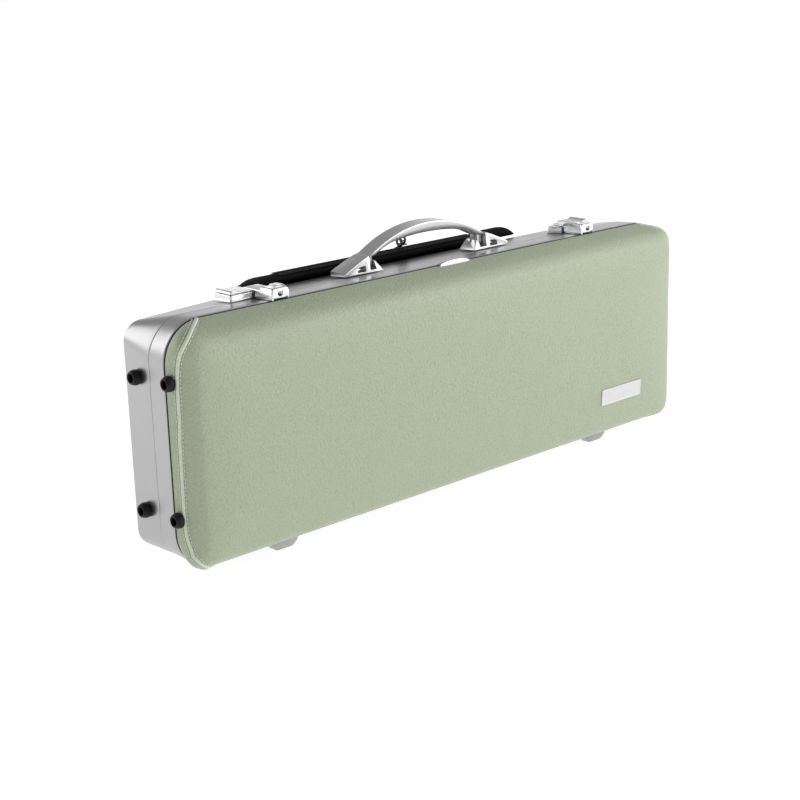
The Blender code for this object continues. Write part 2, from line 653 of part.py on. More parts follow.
def latch(label, outer_x, side):
    """A housing on the rear frame, a sliding plate on it and a hasp hinged on the lid frame.

    side is 1 where the housing runs to +x from its outer end, -1 for the mirrored latch.
    """

    def at(u):
        return outer_x + side * u

    def span(a, b):
        return sorted((at(a), at(b)))

    housing = [(at(-1.2), 28.3), (at(-1.2), 60.4), (at(40.0), 57.6), (at(62.4), 47.6), (at(55.0), 28.3)]
    base = plan_loft(housing, (
        (0.0, 283.45, 0.068), (0.0, 284.7, 0.040), (0.9, 285.6, 0.030), (1.3, 289.6, 0.0), (2.3, 290.6, 0.0),
    ), 3.0)
    finish(base, f"latch_base_{label}", "fitting_chrome")
    # sliding plate with a rolled finger lip at its outer end; it runs outward
    profile = [(0.4, 291.0), (30.2, 291.0), (30.2, 292.9), (11.0, 293.1), (7.4, 293.7), (5.0, 294.7), (2.6, 294.9), (0.6, 293.9), (-0.2, 292.2)]
    plate = prism_mesh([(at(u), z) for u, z in profile], "Y", 29.3, 57.6)
    finish(bevelled(plate, 0.6), f"latch_slider_{label}", "fitting_chrome", origin=(at(15.0), 44.0, 292.0))
    # hasp on the lid's edge: low body, raised front, arched inner flank, tongue over the housing
    a, b = span(29.4, 52.8)
    low = footprint_loft((
        (a, b, -4.0, 26.0, 1.2, 284.5, 0.0), (a, b, -4.0, 26.0, 1.2, 286.2, 0.0), (a + 0.5, b - 0.5, -3.9, 25.8, 1.2, 291.2, 0.0),
    ))
    hasp = finish(low, f"latch_hasp_{label}", "fitting_chrome", origin=(at(41.0), HASP_Y, HASP_Z))
    raised = footprint_loft((
        (a + 0.45, b - 0.45, -3.92, 19.0, 1.2, 290.6, 0.0), (a + 1.0, b - 0.8, -3.6, 18.6, 1.6, 294.8, 0.0),
        (a + 1.9, b - 1.4, -2.7, 17.6, 2.0, 296.4, 0.0), (a + 3.4, b - 2.6, -1.2, 16.0, 2.2, 297.1, 0.0),
    ))
    fuse(hasp, raised, f"hasp_raised_{label}")
    flank = [(-3.8, 285.4), (-3.6, 291.5), (-2.0, 295.6), (1.4, 297.6), (8.0, 298.5), (17.0, 298.3), (24.0, 296.6), (28.4, 293.4), (29.6, 291.1), (25.6, 291.1), (25.4, 285.4)]
    fuse(hasp, bevelled(prism_mesh(flank, "X", *span(49.4, 53.6)), 0.7), f"hasp_flank_{label}")
    tongue = [(31.0, 291.25), (50.0, 291.25), (50.0, 293.4), (33.0, 293.4), (31.6, 292.9), (31.0, 292.2)]
    fuse(hasp, bevelled(prism_mesh([(at(u), z) for u, z in tongue], "Y", 12.0, 46.0), 0.5), f"hasp_tongue_{label}")
    cut(hasp, box_mesh(*span(33.4, 48.0), 0.6, 14.0, 295.9, 300.0), f"hasp_recess_{label}")
    cut(hasp, box_mesh(*span(31.6, 51.0), -2.9, 24.0, 280.0, 289.6), f"hasp_hollow_{label}")
    cut(hasp, prism_mesh(circle((HASP_Y, HASP_Z), 0.96, 12), "X", *span(30.5, 52.0)), f"hasp_bore_{label}")
    # room for the front wall to swing under its mount
    cut(hasp, box_mesh(*span(31.6, 51.0), -6.0, -2.7, 280.0, 287.1), f"hasp_relief_{label}")
    window = [(37.4, 293.4), (37.4, 290.2), (39.0, 288.2), (42.6, 287.9), (44.6, 289.8), (45.0, 293.4)]
    cut(hasp, prism_mesh([(at(u), z) for u, z in window], "Y", -6.0, 2.6), f"hasp_window_{label}")
    # hinge mount of the hasp, on the lid frame
    mount = [(22.0, 284.4), (22.0, 285.6), (3.0, 285.6), (0.6, 286.9), (-1.2, 288.0), (-2.5, 287.4), (-2.5, 285.8), (-0.8, 284.5)]
    obj = prism(f"latch_mount_{label}", "fitting_chrome", mount, "X", *span(33.0, 49.4))
    fuse(obj, prism_mesh(circle((HASP_Y, HASP_Z), 0.9, 12), "X", *span(30.8, 51.7)), f"mount_axle_{label}")


latch("left", LATCH_X[0], 1)
latch("right", LATCH_X[1], -1)

# ---------------------------------------------------------------- music pocket on the back
POCKET_X0, POCKET_X1 = -232.0, 213.0
POCKET_Z0 = 66.0


def outline_box(x0, x1, z0, z1, r, steps=4, long_steps=5):
    """Rounded rectangle in XZ with a constant point count."""
    pts = []
    centres = ((x1 - r, z1 - r, 0), (x0 + r, z1 - r, 90), (x0 + r, z0 + r, 180), (x1 - r, z0 + r, 270))
    arcs = [[(cx + r * math.cos(math.radians(a + 90 * i / steps)), cz + r * math.sin(math.radians(a + 90 * i / steps))) for i in range(steps + 1)] for cx, cz, a in centres]
    for k in range(4):
        pts += arcs[k]
        a, b = arcs[k][-1], arcs[(k + 1) % 4][0]
        count = long_steps if k in (0, 2) else 3
        pts += [(a[0] + (b[0] - a[0]) * i / count, a[1] + (b[1] - a[1]) * i / count) for i in range(1, count)]
    return pts


def pocket_rings(levels):
    """levels: side inset, bottom inset, top height, y, corner radius."""
    return [[(x, y, z) for x, z in outline_box(POCKET_X0 + i, POCKET_X1 - i, POCKET_Z0 + b, top, r)] for i, b, top, y, r in levels]


finish(
    loft(pocket_rings((
        (40.0, 44.0, 240.0, 124.0, 28.0),
        (20.0, 20.0, 266.0, 122.6, 32.0),
        (9.0, 9.0, 278.0, 118.5, 34.0),
        (3.0, 3.0, 285.0, 112.0, 36.0),
        (0.0, 0.0, 287.6, 104.0, 36.0),
        (0.0, 0.0, 287.8, 98.0, 36.0),
        (3.2, 3.2, 284.6, 98.0, 33.0),
        (3.2, 3.2, 284.4, 104.0, 33.0),
        (6.0, 6.0, 281.6, 110.4, 33.0),
        (12.0, 12.0, 275.0, 115.6, 32.0),
        (23.0, 23.0, 263.0, 119.6, 30.0),
        (43.0, 47.0, 237.0, 121.0, 26.0),
    ))),
    "pocket_panel", "fabric_black",
)

# gusset that carries the zips, from the frame's rear edge over the top of the pocket
GUSSET = [(79.6, 284.0), (82.0, 288.4), (86.0, 290.6), (91.0, 291.2), (97.0, 290.0), (97.0, 286.0), (91.0, 283.2), (83.2, 279.9)]
GUSSET_STATIONS = ((-228, 0.35), (-222, 0.55), (-210, 0.75), (-195, 0.93), (-180, 1.0), (-100, 1.0), (-20, 1.0), (60, 1.0), (142, 1.0), (154, 1.1), (166, 1.2), (190, 1.2), (200, 1.05), (206, 0.75), (209, 0.4))
rings = []
for x, k in GUSSET_STATIONS:
    rings.append([(x, y, 279.9 + (z - 279.9) * k if z > 286.5 or y < 80 else z if k >= 0.9 else 279.9 + (z - 279.9) * max(k, 0.3)) for y, z in GUSSET])
finish(loft(rings), "pocket_gusset", "fabric_black")
ZIP_X0, ZIP_X1 = -176.0, 136.0
for name, y, z in (("pocket_zip_front", 84.6, 291.3), ("pocket_zip_rear", 92.6, 291.9)):
    teeth = []
    x = ZIP_X0
    while x < ZIP_X1 - 1:
        teeth += [(x, z + 0.05), (x + 5.2, z + 0.05), (x + 5.2, z + 0.5), (x + 10.4, z + 0.5)]
        x += 10.4
    finish(prism_mesh(teeth + [(x, z - 0.3), (ZIP_X0, z - 0.3)], "Y", y - 1.8, y + 1.8), name, "zip_black")


# ---------------------------------------------------------------- zip sliders and ring pullers
def torus_yz(centre, major, minor, n=16, m=6):
    cx, cy, cz = centre
    rings = []
    for i in range(n):
        a = 2 * math.pi * i / n
        rings.append([
            (cx + minor * math.sin(2 * math.pi * j / m),
             cy + (major + minor * math.cos(2 * math.pi * j / m)) * math.cos(a),
             cz + (major + minor * math.cos(2 * math.pi * j / m)) * math.sin(a))
            for j in range(m)
        ])
    return loft(rings, closed_loop=True)


ZIP_PARTS = {"left": (11.0, 84.6, 292.15), "right": (24.0, 92.6, 292.75)}
PULL_PIVOT = 5.2  # height of the bail's bar over the slider's underside
for label, (x, y, z) in ZIP_PARTS.items():
    body = footprint_loft((
        (x - 5.0, x + 5.0, y - 3.2, y + 3.2, 1.0, z, 0.0),
        (x - 5.4, x + 5.4, y - 3.4, y + 3.4, 1.4, z + 0.9, 0.0),
        (x - 4.4, x + 4.4, y - 2.6, y + 2.6, 1.2, z + 1.5, 0.0),
    ), 2)
    obj = finish(body, f"zip_slider_{label}", "zip_metal", origin=(x, y, z))
    bail = [(x - 3.4, z + 1.0), (x + 3.4, z + 1.0), (x + 3.4, z + 4.8), (x + 2.4, z + 5.8), (x - 2.4, z + 5.8), (x - 3.4, z + 4.8)]
    fuse(obj, prism_mesh(bail, "Y", y - 0.7, y + 0.7), f"bail_{label}")
    cut(obj, box_mesh(x - 2.2, x + 2.2, y - 5, y + 5, z + 1.9, z + 4.6), f"bail_hole_{label}")
    finish(torus_yz((x, y, z + 7.2), 3.8, 0.8), f"zip_puller_{label}", "zip_metal", origin=(x, y, z + PULL_PIVOT))

# ---------------------------------------------------------------- interior of the rear half
VIOLIN_HALF = (
    (-368, 0), (-366, 30), (-358, 62), (-338, 92), (-308, 109), (-275, 113), (-245, 108), (-222, 96), (-206, 80),
    (-190, 70), (-165, 66), (-140, 68), (-124, 76), (-110, 87), (-92, 93), (-66, 94), (-40, 86), (-18, 66),
    (-4, 42), (6, 26), (30, 22), (120, 22), (176, 24), (190, 33), (222, 35), (226, 0),
)


def bed_outer(x, h):
    """Matching point on the bed's outside for a point on half of the recess."""
    left, right, half, r = -388.0, 231.0, 123.0, 36.0
    k = min(max((x + 368.0) / 594.0, 0.0), 1.0)
    if h == 0:
        return (left, 0.0) if x < 0 else (right, 0.0)
    ox = left + (right - left) * min(max((x + 352.0) / 574.0, 0.0), 1.0)
    if x < -360:
        return (left, 60.0)
    if x < -350:
        return (left, 85.0)
    if x < -330:
        a = math.radians(150)
        return (left + r + r * math.cos(a), half - 4.5 - r + r * math.sin(a))
    if x < -300:
        return (left + r, half - 4.5)
    if x > 215:
        return (right, 60.0)
    if x > 185:
        return (right, half)
    return (ox, half)


loop_in = [(x, h) for x, h in VIOLIN_HALF] + [(x, -h) for x, h in reversed(VIOLIN_HALF[1:-1])]
half_out = [bed_outer(x, h) for x, h in VIOLIN_HALF]
loop_out = half_out + [(x, -h) for x, h in reversed(half_out[1:-1])]


def level(points, y, inset=0.0):
    """The loop at depth y, drawn in by inset at its ends and at its long sides."""
    out = []
    for x, h in points:
        px = x + inset if x < -340 else x - inset if x > 200 else x
        side = math.copysign(min(1.0, abs(h) / 60.0), h)
        out.append((px, y, MIDDLE_Z + h - inset * side))
    return out


finish(
    loft([
        level(loop_in, 34.0), level(loop_in, 31.4, -2.0), level(loop_out, 31.4, 2.0), level(loop_out, 33.4),
        level(loop_out, 60.0, 2.5), level(loop_out, 76.0, 7.0), level(loop_in, 76.0),
    ], closed_loop=True),
    "violin_bed", "lining_grey",
)


def pad(name, x0, x1, z0, z1, y0, y1, dish):
    """Cushion with a dished front face; a closed soft block."""
    rows = []
    for i in range(7):
        t = i / 6
        z = z0 + (z1 - z0) * t
        edge = 1.0 - (2 * t - 1) ** 2
        top = y0 + dish * edge + (2.5 if i in (0, 6) else 0.0)
        inset = 2.0 if i in (0, 6) else 0.0
        rows.append([(x0 + inset, y1, z), (x0 + inset, top + 2.2, z), (x0 + inset + 3.0, top, z), (x1 - inset - 3.0, top, z), (x1 - inset, top + 2.2, z), (x1 - inset, y1, z)])
    finish(loft(rows), name, "cushion_grey")


pad("suspension_pad_lower", -318.0, -262.0, 92.0, 206.0, 73.0, 88.6, 3.0)
pad("suspension_pad_upper", -92.0, -44.0, 98.0, 200.0, 73.0, 89.2, 3.0)
cradle = [(-20.0, 88.8), (-20.0, 52.0), (-17.5, 50.0), (-13.0, 50.0), (-10.5, 56.0), (-6.0, 62.0), (0.0, 64.0), (6.0, 62.0), (10.5, 56.0), (13.0, 50.0), (17.5, 50.0), (20.0, 52.0), (20.0, 88.8)]
finish(
    bevelled(prism_mesh([(y, MIDDLE_Z + h) for h, y in cradle], "X", 58.0, 104.0), 1.2, 1, 50),
    "neck_cradle", "cushion_grey",
)
strap_rows = []
for h, lift in ((-46, 0.0), (-34, 0.2), (-22, 1.2), (-8, 2.4), (8, 2.4), (22, 1.2), (34, 0.2), (46, 0.0)):
    y1 = 31.0 - lift
    strap_rows.append([(72.0, y1, MIDDLE_Z + h), (90.0, y1, MIDDLE_Z + h), (90.0, y1 - 1.6, MIDDLE_Z + h), (72.0, y1 - 1.6, MIDDLE_Z + h)])
finish(loft(strap_rows), "neck_strap", "strap_black")

# accessory compartment with its own lid
BOX = (236.0, 368.0, 34.0, 90.0)
FLAP_Y, FLAP_Z = 29.6, 91.9
bx0, bx1, bz0, bz1 = BOX
acc = finish(box_mesh(bx0, bx1, 31.2, 75.0, bz0, bz1, 1.0), "accessory_box", "lining_grey")
cut(acc, box_mesh(bx0 + 3, bx1 - 3, 28.0, 72.0, bz0 + 3, bz1 - 3), "accessory_hollow")
for k, (a, b) in enumerate(((bx0 - 3.6, bx0 + 0.0), (bx1 + 0.0, bx1 + 3.6))):
    fuse(acc, box_mesh(a - (0 if k == 0 else 0.6), b + (0.6 if k == 0 else 0), 27.2, 40.0, 86.0, 95.0), f"accessory_ear_{k}")
cut(acc, prism_mesh(circle((FLAP_Y, FLAP_Z), 1.06, 12), "X", bx0 - 10, bx1 + 10), "accessory_ear_bore")
cut(acc, box_mesh(bx0 + 0.05, bx1 - 0.05, 20.0, 31.15, 80.0, 98.0), "accessory_ear_trim")
flap = finish(
    bevelled(prism_mesh([(bx0 + 0.5, bz0 + 0.6), (bx1 - 0.5, bz0 + 0.6), (bx1 - 0.5, 91.6), (bx0 + 0.5, 91.6)], "Y", 28.4, 30.8), 0.5),
    "accessory_lid", "lining_grey", origin=((bx0 + bx1) / 2, FLAP_Y, FLAP_Z),
)
fuse(flap, prism_mesh(circle((FLAP_Y, FLAP_Z), 1.55, 12), "X", bx0 + 0.5, bx1 - 0.5), "flap_bead")
fuse(flap, prism_mesh(circle((FLAP_Y, FLAP_Z), 1.0, 12), "X", bx0 - 3.0, bx1 + 3.0), "flap_axle")
fuse(flap, lathe_y([(29.0, 4.0), (25.6, 4.4), (23.4, 5.2), (22.4, 4.2)], (bx0 + bx1) / 2, 46.0, 14), "flap_knob")

# ---------------------------------------------------------------- bow holders in the lid
BOW_Z = (MIDDLE_Z - 34.0, MIDDLE_Z + 34.0)
LINING_FACE = -LID_DEPTH + WALL + 3.4
for label, z in zip(("lower", "upper"), BOW_Z):
    y = LINING_FACE + 0.35
    knob = finish(
        lathe_y([(y, 8.4), (y + 2.2, 8.4), (y + 3.0, 4.2), (y + 15.0, 3.6), (y + 16.0, 4.4), (y + 20.0, 4.4), (y + 21.0, 3.2)], -296.0, z, 16),
        f"bow_spinner_{label}", "knob_black", origin=(-296.0, y, z),
    )
    wing = [(-15.0, -3.4), (-6.0, -4.3), (6.0, -4.3), (15.0, -3.4), (17.0, 0.0), (15.0, 3.4), (6.0, 4.3), (-6.0, 4.3), (-15.0, 3.4), (-17.0, 0.0)]
    fuse(knob, prism_mesh([(-296.0 + v, z + u) for u, v in wing], "Y", y + 15.5, y + 19.6), f"spinner_wing_{label}")
    sleeve = finish(box_mesh(292.0, 336.0, y + 1.4, y + 17.8, z - 12.0, z + 12.0, 2.0), f"bow_tip_pocket_{label}", "strap_black")
    cut(sleeve, box_mesh(280.0, 333.6, y + 3.2, y + 16.0, z - 10.0, z + 10.0), f"tip_hollow_{label}")
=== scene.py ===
import json
import math

import bmesh
import bpy
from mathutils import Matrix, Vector, noise


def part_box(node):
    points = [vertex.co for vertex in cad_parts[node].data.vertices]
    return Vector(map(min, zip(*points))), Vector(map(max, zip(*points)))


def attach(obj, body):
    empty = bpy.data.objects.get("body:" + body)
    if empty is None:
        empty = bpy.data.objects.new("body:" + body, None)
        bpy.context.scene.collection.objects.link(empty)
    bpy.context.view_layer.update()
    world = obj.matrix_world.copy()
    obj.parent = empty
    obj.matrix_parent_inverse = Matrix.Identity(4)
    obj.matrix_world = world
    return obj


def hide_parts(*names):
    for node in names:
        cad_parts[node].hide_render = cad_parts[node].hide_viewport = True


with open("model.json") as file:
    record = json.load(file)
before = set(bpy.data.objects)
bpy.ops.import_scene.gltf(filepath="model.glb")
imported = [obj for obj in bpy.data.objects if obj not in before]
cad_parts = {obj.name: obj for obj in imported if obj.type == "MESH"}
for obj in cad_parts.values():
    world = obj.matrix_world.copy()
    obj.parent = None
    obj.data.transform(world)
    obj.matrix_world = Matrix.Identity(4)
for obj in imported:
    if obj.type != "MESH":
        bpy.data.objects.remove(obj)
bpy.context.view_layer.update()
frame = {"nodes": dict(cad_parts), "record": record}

scene = bpy.context.scene


def W(x, y, z):
    """Part millimetres to the frame's metres."""
    return ((x + 4.1) / 1000, (y - 39.45) / 1000, z / 1000)


# ------------------------------------------------------------------ materials
class Shade:
    """A node material with a Principled surface."""

    def __init__(self, name):
        self.mat = bpy.data.materials.new(name)
        self.mat.use_nodes = True
        self.tree = self.mat.node_tree
        self.tree.nodes.clear()
        out = self.add("ShaderNodeOutputMaterial")
        self.bsdf = self.add("ShaderNodeBsdfPrincipled")
        self.join(self.bsdf.outputs["BSDF"], out.inputs["Surface"])

    def add(self, kind, **settings):
        node = self.tree.nodes.new(kind)
        for key, value in settings.items():
            setattr(node, key, value)
        return node

    def join(self, a, b):
        self.tree.links.new(a, b)

    def put(self, socket, value):
        if isinstance(value, bpy.types.NodeSocket):
            self.join(value, socket)
        elif isinstance(value, (tuple, list)) and len(value) == 3 and socket.type == "RGBA":
            socket.default_value = (*value, 1.0)
        else:
            socket.default_value = value

    def set(self, **values):
        for key, value in values.items():
            self.put(self.bsdf.inputs[key.replace("_", " ")], value)
        return self

    def coords(self, scale=(1, 1, 1), uv=False, turn=(0, 0, 0)):
        source = self.add("ShaderNodeTexCoord")
        mapping = self.add("ShaderNodeMapping")
        mapping.inputs["Scale"].default_value = scale
        mapping.inputs["Rotation"].default_value = turn
        self.join(source.outputs["UV" if uv else "Object"], mapping.inputs["Vector"])
        return mapping.outputs["Vector"]

    def noise(self, vector, scale, detail=3.0, rough=0.5, distortion=0.0):
        node = self.add("ShaderNodeTexNoise")
        self.join(vector, node.inputs["Vector"])
        node.inputs["Scale"].default_value = scale
        node.inputs["Detail"].default_value = detail
        node.inputs["Roughness"].default_value = rough
        node.inputs["Distortion"].default_value = distortion
        return node.outputs["Fac"]

    def cells(self, vector, scale, feature="F1", random=1.0):
        node = self.add("ShaderNodeTexVoronoi", feature=feature)
        self.join(vector, node.inputs["Vector"])
        node.inputs["Scale"].default_value = scale
        node.inputs["Randomness"].default_value = random
        return node.outputs["Distance"]

    def wave(self, vector, scale, direction="X", distortion=0.0):
        node = self.add("ShaderNodeTexWave", wave_type="BANDS", bands_direction=direction, wave_profile="SIN")
        self.join(vector, node.inputs["Vector"])
        node.inputs["Scale"].default_value = scale
        node.inputs["Distortion"].default_value = distortion
        return node.outputs["Fac"]

    def math(self, operation, a, b=0.0, clamp=False):
        node = self.add("ShaderNodeMath", operation=operation, use_clamp=clamp)
        self.put(node.inputs[0], a)
        self.put(node.inputs[1], b)
        return node.outputs[0]

    def range(self, value, low, high, to_low, to_high):
        node = self.add("ShaderNodeMapRange")
        self.join(value, node.inputs["Value"])
        for key, v in (("From Min", low), ("From Max", high), ("To Min", to_low), ("To Max", to_high)):
            node.inputs[key].default_value = v
        return node.outputs["Result"]

    def mix(self, share, a, b):
        node = self.add("ShaderNodeMix", data_type="RGBA")
        self.put(node.inputs[0], share)
        self.put(node.inputs[6], a)
        self.put(node.inputs[7], b)
        return node.outputs[2]

    def bump(self, height, distance, strength=1.0, over=None):
        node = self.add("ShaderNodeBump")
        node.inputs["Strength"].default_value = strength
        node.inputs["Distance"].default_value = distance
        self.join(height, node.inputs["Height"])
        if over is not None:
            self.join(over, node.inputs["Normal"])
        return node.outputs["Normal"]


def scaled(colour, k):
    return tuple(min(1.0, c * k) for c in colour)


def leather(name, colour, cell=2.1, depth=0.00064, rough=0.48, coat=0.25):
    s = Shade(name)
    p = s.coords()
    warp = s.noise(p, 90.0, 2.0)
    pebble = s.cells(p, 1000.0 / cell, "SMOOTH_F1", 0.95)
    fine = s.cells(p, 2600.0 / cell, "F1", 1.0)
    creases = s.noise(p, 330.0, 4.0, 0.62, 0.6)
    dome = s.range(pebble, 0.1, 0.85, 1.0, 0.0)
    height = s.math("ADD", s.math("MULTIPLY", dome, 0.75), s.math("MULTIPLY", s.range(fine, 0.0, 0.9, 1.0, 0.0), 0.16))
    height = s.math("ADD", height, s.math("MULTIPLY", creases, 0.5))
    soft = s.bump(s.noise(p, 22.0, 3.0, 0.5), 0.0009, 0.3)
    normal = s.bump(height, depth, 1.0, soft)
    # Painted shade: the colour is darker in the hollows between the pebbles and lighter on their tops; the same mask
    # also makes the hollows rougher.
    pebble_rise_and_painted_shade = s.range(dome, 0.12, 0.62, 0.0, 1.0)
    base = s.mix(pebble_rise_and_painted_shade, scaled(colour, 0.89), scaled(colour, 1.025))
    broad = s.noise(p, 7.0, 3.0, 0.55)
    base = s.mix(s.range(broad, 0.3, 0.7, 0.0, 0.16), base, scaled(colour, 0.86))
    speck = s.range(s.noise(p, 640.0, 2.0, 0.7), 0.36, 0.66, 0.0, 0.62)
    base = s.mix(speck, base, scaled(colour, 1.2))
    shine = s.math("ADD", s.range(warp, 0.3, 0.7, rough - 0.05, rough + 0.05), s.range(pebble_rise_and_painted_shade, 0.0, 1.0, 0.14, 0.0))
    s.set(Base_Color=base, Roughness=shine, Normal=normal)
    s.bsdf.inputs["Specular IOR Level"].default_value = 0.42
    s.bsdf.inputs["Coat Weight"].default_value = coat
    s.bsdf.inputs["Coat Roughness"].default_value = 0.35
    return s.mat


def brushed(name, colour, rough, uv=False, along=(6.0, 620.0, 620.0), depth=0.00003, metal=1.0, streak=0.10, vary=1.0):
    s = Shade(name)
    lines = s.coords(along, uv)
    fine = s.noise(lines, 1.0, 4.0, 0.65)
    p = s.coords()
    broad = s.noise(p, 9.0, 3.0, 0.5)
    wear = s.noise(p, 190.0, 5.0, 0.7)
    grain = s.noise(p, 2100.0, 2.0, 0.6)
    base = s.mix(s.range(fine, 0.3, 0.7, 0.0, 1.0), scaled(colour, 1.0 - streak), scaled(colour, 1.0 + streak * 0.5))
    base = s.mix(s.range(wear, 0.62, 0.8, 0.0, 0.25 * vary), base, scaled(colour, 0.8))
    shine = s.math("ADD", s.range(broad, 0.3, 0.7, rough - 0.04 * vary, rough + 0.05 * vary), s.range(fine, 0.3, 0.7, -0.03 * vary, 0.05 * vary))
    normal = s.bump(grain, depth * 0.3, 0.5, s.bump(fine, depth, 0.5))
    s.set(Base_Color=base, Roughness=shine, Normal=normal)
    s.bsdf.inputs["Metallic"].default_value = metal
    return s.mat


def moulded(name, colour, rough, depth=0.00006, grain=900.0, level=0.5):
    s = Shade(name)
    p = s.coords()
    skin = s.cells(p, grain, "F1", 1.0)
    broad = s.noise(p, 40.0, 4.0, 0.6)
    dust = s.noise(p, 240.0, 4.0, 0.7)
    base = s.mix(s.range(broad, 0.3, 0.7, 0.0, 1.0), scaled(colour, 0.88), scaled(colour, 1.1))
    base = s.mix(s.range(dust, 0.6, 0.85, 0.0, 0.03), base, (0.45, 0.45, 0.44))
    s.set(Base_Color=base, Roughness=s.range(dust, 0.3, 0.7, rough - 0.05, rough + 0.07), Normal=s.bump(skin, depth, 0.6))
    s.bsdf.inputs["Specular IOR Level"].default_value = level
    return s.mat


def woven(name, colour, pitch=0.9, depth=0.00012, rough=0.75, sheen=0.15, axes=("X", "Z"), level=0.35):
    s = Shade(name)
    p = s.coords()
    a = s.wave(p, 1000.0 / pitch / 20.0 * math.pi, axes[0], 0.4)
    b = s.wave(p, 1000.0 / pitch / 20.0 * math.pi, axes[1], 0.4)
    lattice = s.math("MULTIPLY", s.math("SUBTRACT", a, 0.5), s.math("SUBTRACT", b, 0.5))
    weave = s.range(lattice, -0.25, 0.25, 0.0, 1.0)
    slub = s.noise(p, 900.0, 3.0, 0.7)
    height = s.math("ADD", weave, s.math("MULTIPLY", slub, 0.5))
    fold = s.bump(s.noise(p, 30.0, 3.0, 0.55), 0.0012, 0.4)
    base = s.mix(weave, scaled(colour, 0.6), scaled(colour, 1.5))
    base = s.mix(s.range(slub, 0.45, 0.8, 0.0, 0.4), base, scaled(colour, 2.2))
    s.set(Base_Color=base, Roughness=s.range(slub, 0.2, 0.8, rough - 0.08, rough + 0.08), Normal=s.bump(height, depth, 0.9, fold))
    s.bsdf.inputs["Sheen Weight"].default_value = sheen
    s.bsdf.inputs["Sheen Roughness"].default_value = 0.5
    s.bsdf.inputs["Specular IOR Level"].default_value = level
    return s.mat


def plush(name, colour, sheen=0.6):
    s = Shade(name)
    p = s.coords()
    pile = s.noise(p, 1500.0, 3.0, 0.75)
    nap = s.noise(p, 28.0, 4.0, 0.6, 0.8)
    brush = s.noise(s.coords((60.0, 60.0, 240.0)), 1.0, 3.0, 0.6)
    base = s.mix(s.range(nap, 0.35, 0.65, 0.0, 1.0), scaled(colour, 0.78), scaled(colour, 1.22))
    base = s.mix(s.range(brush, 0.35, 0.7, 0.0, 0.35), base, scaled(colour, 1.5))
    height = s.math("ADD", pile, s.math("MULTIPLY", nap, 2.0))
    s.set(Base_Color=base, Roughness=s.range(pile, 0.2, 0.8, 0.82, 0.98), Normal=s.bump(height, 0.0003, 0.8))
    s.bsdf.inputs["Sheen Weight"].default_value = sheen
    s.bsdf.inputs["Sheen Roughness"].default_value = 0.4
    s.bsdf.inputs["Specular IOR Level"].default_value = 0.2
    return s.mat


TAB_X = 16.0
GREEN = (0.327, 0.370, 0.264)
M = {
    "leather_green": leather("pebbled_leathercloth", GREEN),
    # Painted highlight: the piping's green is lighter than the cover's to stand in for the highlight along the raised
    # bead.
    "leather_piping": leather("smooth_leathercloth", (0.53, 0.58, 0.47), 0.8, 0.00004, 0.4),
    "thread": woven("twisted_thread", (0.62, 0.66, 0.56), 0.35, 0.00005, 0.6, 0.1),
    "frame_aluminium": brushed("satin_aluminium", (0.435, 0.435, 0.435), 0.30, True, (9.0, 2400.0, 1.0), 0.000008, 1.0, 0.04),
    "fitting_chrome": brushed("polished_fitting", (0.745, 0.745, 0.75), 0.25, False, (40.0, 500.0, 500.0), 0.000001, 1.0, 0.02, 0.25),
    "handle_metal": brushed("satin_silver", (0.535, 0.535, 0.535), 0.32, False, (14.0, 420.0, 420.0), 0.000002, 0.95, 0.04, 0.4),
    "plate_silver": brushed("brushed_plate", (0.65, 0.65, 0.65), 0.28, False, (18.0, 900.0, 1800.0), 0.000004, 0.9, 0.05),
    "foot_plastic": moulded("grey_moulding", (0.37, 0.375, 0.37), 0.38),
    "rubber_black": moulded("black_rubber", (0.005, 0.005, 0.005), 0.42, 0.00003, 1400.0, 0.24),
    "fabric_black": woven("black_nylon", (0.0022, 0.0022, 0.0025), 0.9, 0.00012, 0.8, 0.006, ("X", "Z"), 0.12),
    "zip_black": moulded("black_coil", (0.004, 0.004, 0.0045), 0.48, 0.00003, 1800.0, 0.14),
    "zip_metal": moulded("black_enamel", (0.006, 0.006, 0.007), 0.22, 0.00001, 900.0, 0.6),
    "lining_grey": plush("grey_plush", (0.17, 0.18, 0.19)),
    "cushion_grey": plush("grey_velvet", (0.24, 0.25, 0.26), 0.75),
    "strap_black": woven("black_webbing", (0.02, 0.02, 0.022), 1.6, 0.0003, 0.7, 0.2, ("X", "Y")),
    "knob_black": moulded("black_knob", (0.025, 0.025, 0.027), 0.3, 0.00002, 900.0, 0.5),
}


# ------------------------------------------------------------------ meshes
def piece(name, points, faces, body, slot, nodes=(), look=None, uvs=None, sharp=32.0, metres=False):
    """A mesh piece in part millimetres that rides on a body and stands for CAD nodes."""
    mesh = bpy.data.meshes.new(name)
    mesh.from_pydata([p if metres else W(*p) for p in points], [], faces)
    if uvs:
        layer = mesh.uv_layers.new(name="lengths")
        flat = [uv for face in uvs for uv in face]
        for loop, uv in zip(layer.data, flat):
            loop.uv = uv
    bm = bmesh.new()
    bm.from_mesh(mesh)
    bmesh.ops.recalc_face_normals(bm, faces=bm.faces[:])
    bm.to_mesh(mesh)
    bm.free()
    mesh.shade_smooth()
    mesh.set_sharp_from_angle(angle=math.radians(sharp))
    obj = bpy.data.objects.new(name, mesh)
    scene.collection.objects.link(obj)
    mesh.materials.append(M[look or slot])
    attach(obj, body)
    if nodes:
        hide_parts(*nodes)
    return obj


# the long outlines are closed by a strip of quads from their top run to their bottom run: (top, bottom, count)
STRIPS = {200: (14, 114, 52), 180: (12, 102, 44)}


def cap_faces(n):
    """The faces that close a ring of n points."""
    if n not in STRIPS:
        return [tuple(range(n))]
    top, bottom, count = STRIPS[n]
    faces = [(top + i, top + i + 1, bottom + count - i - 1, bottom + count - i) for i in range(count)]
    faces.append(tuple(range(top + count, bottom + 1)))
    faces.append(tuple(k % n for k in range(bottom + count, n + top + 1)))
    return faces


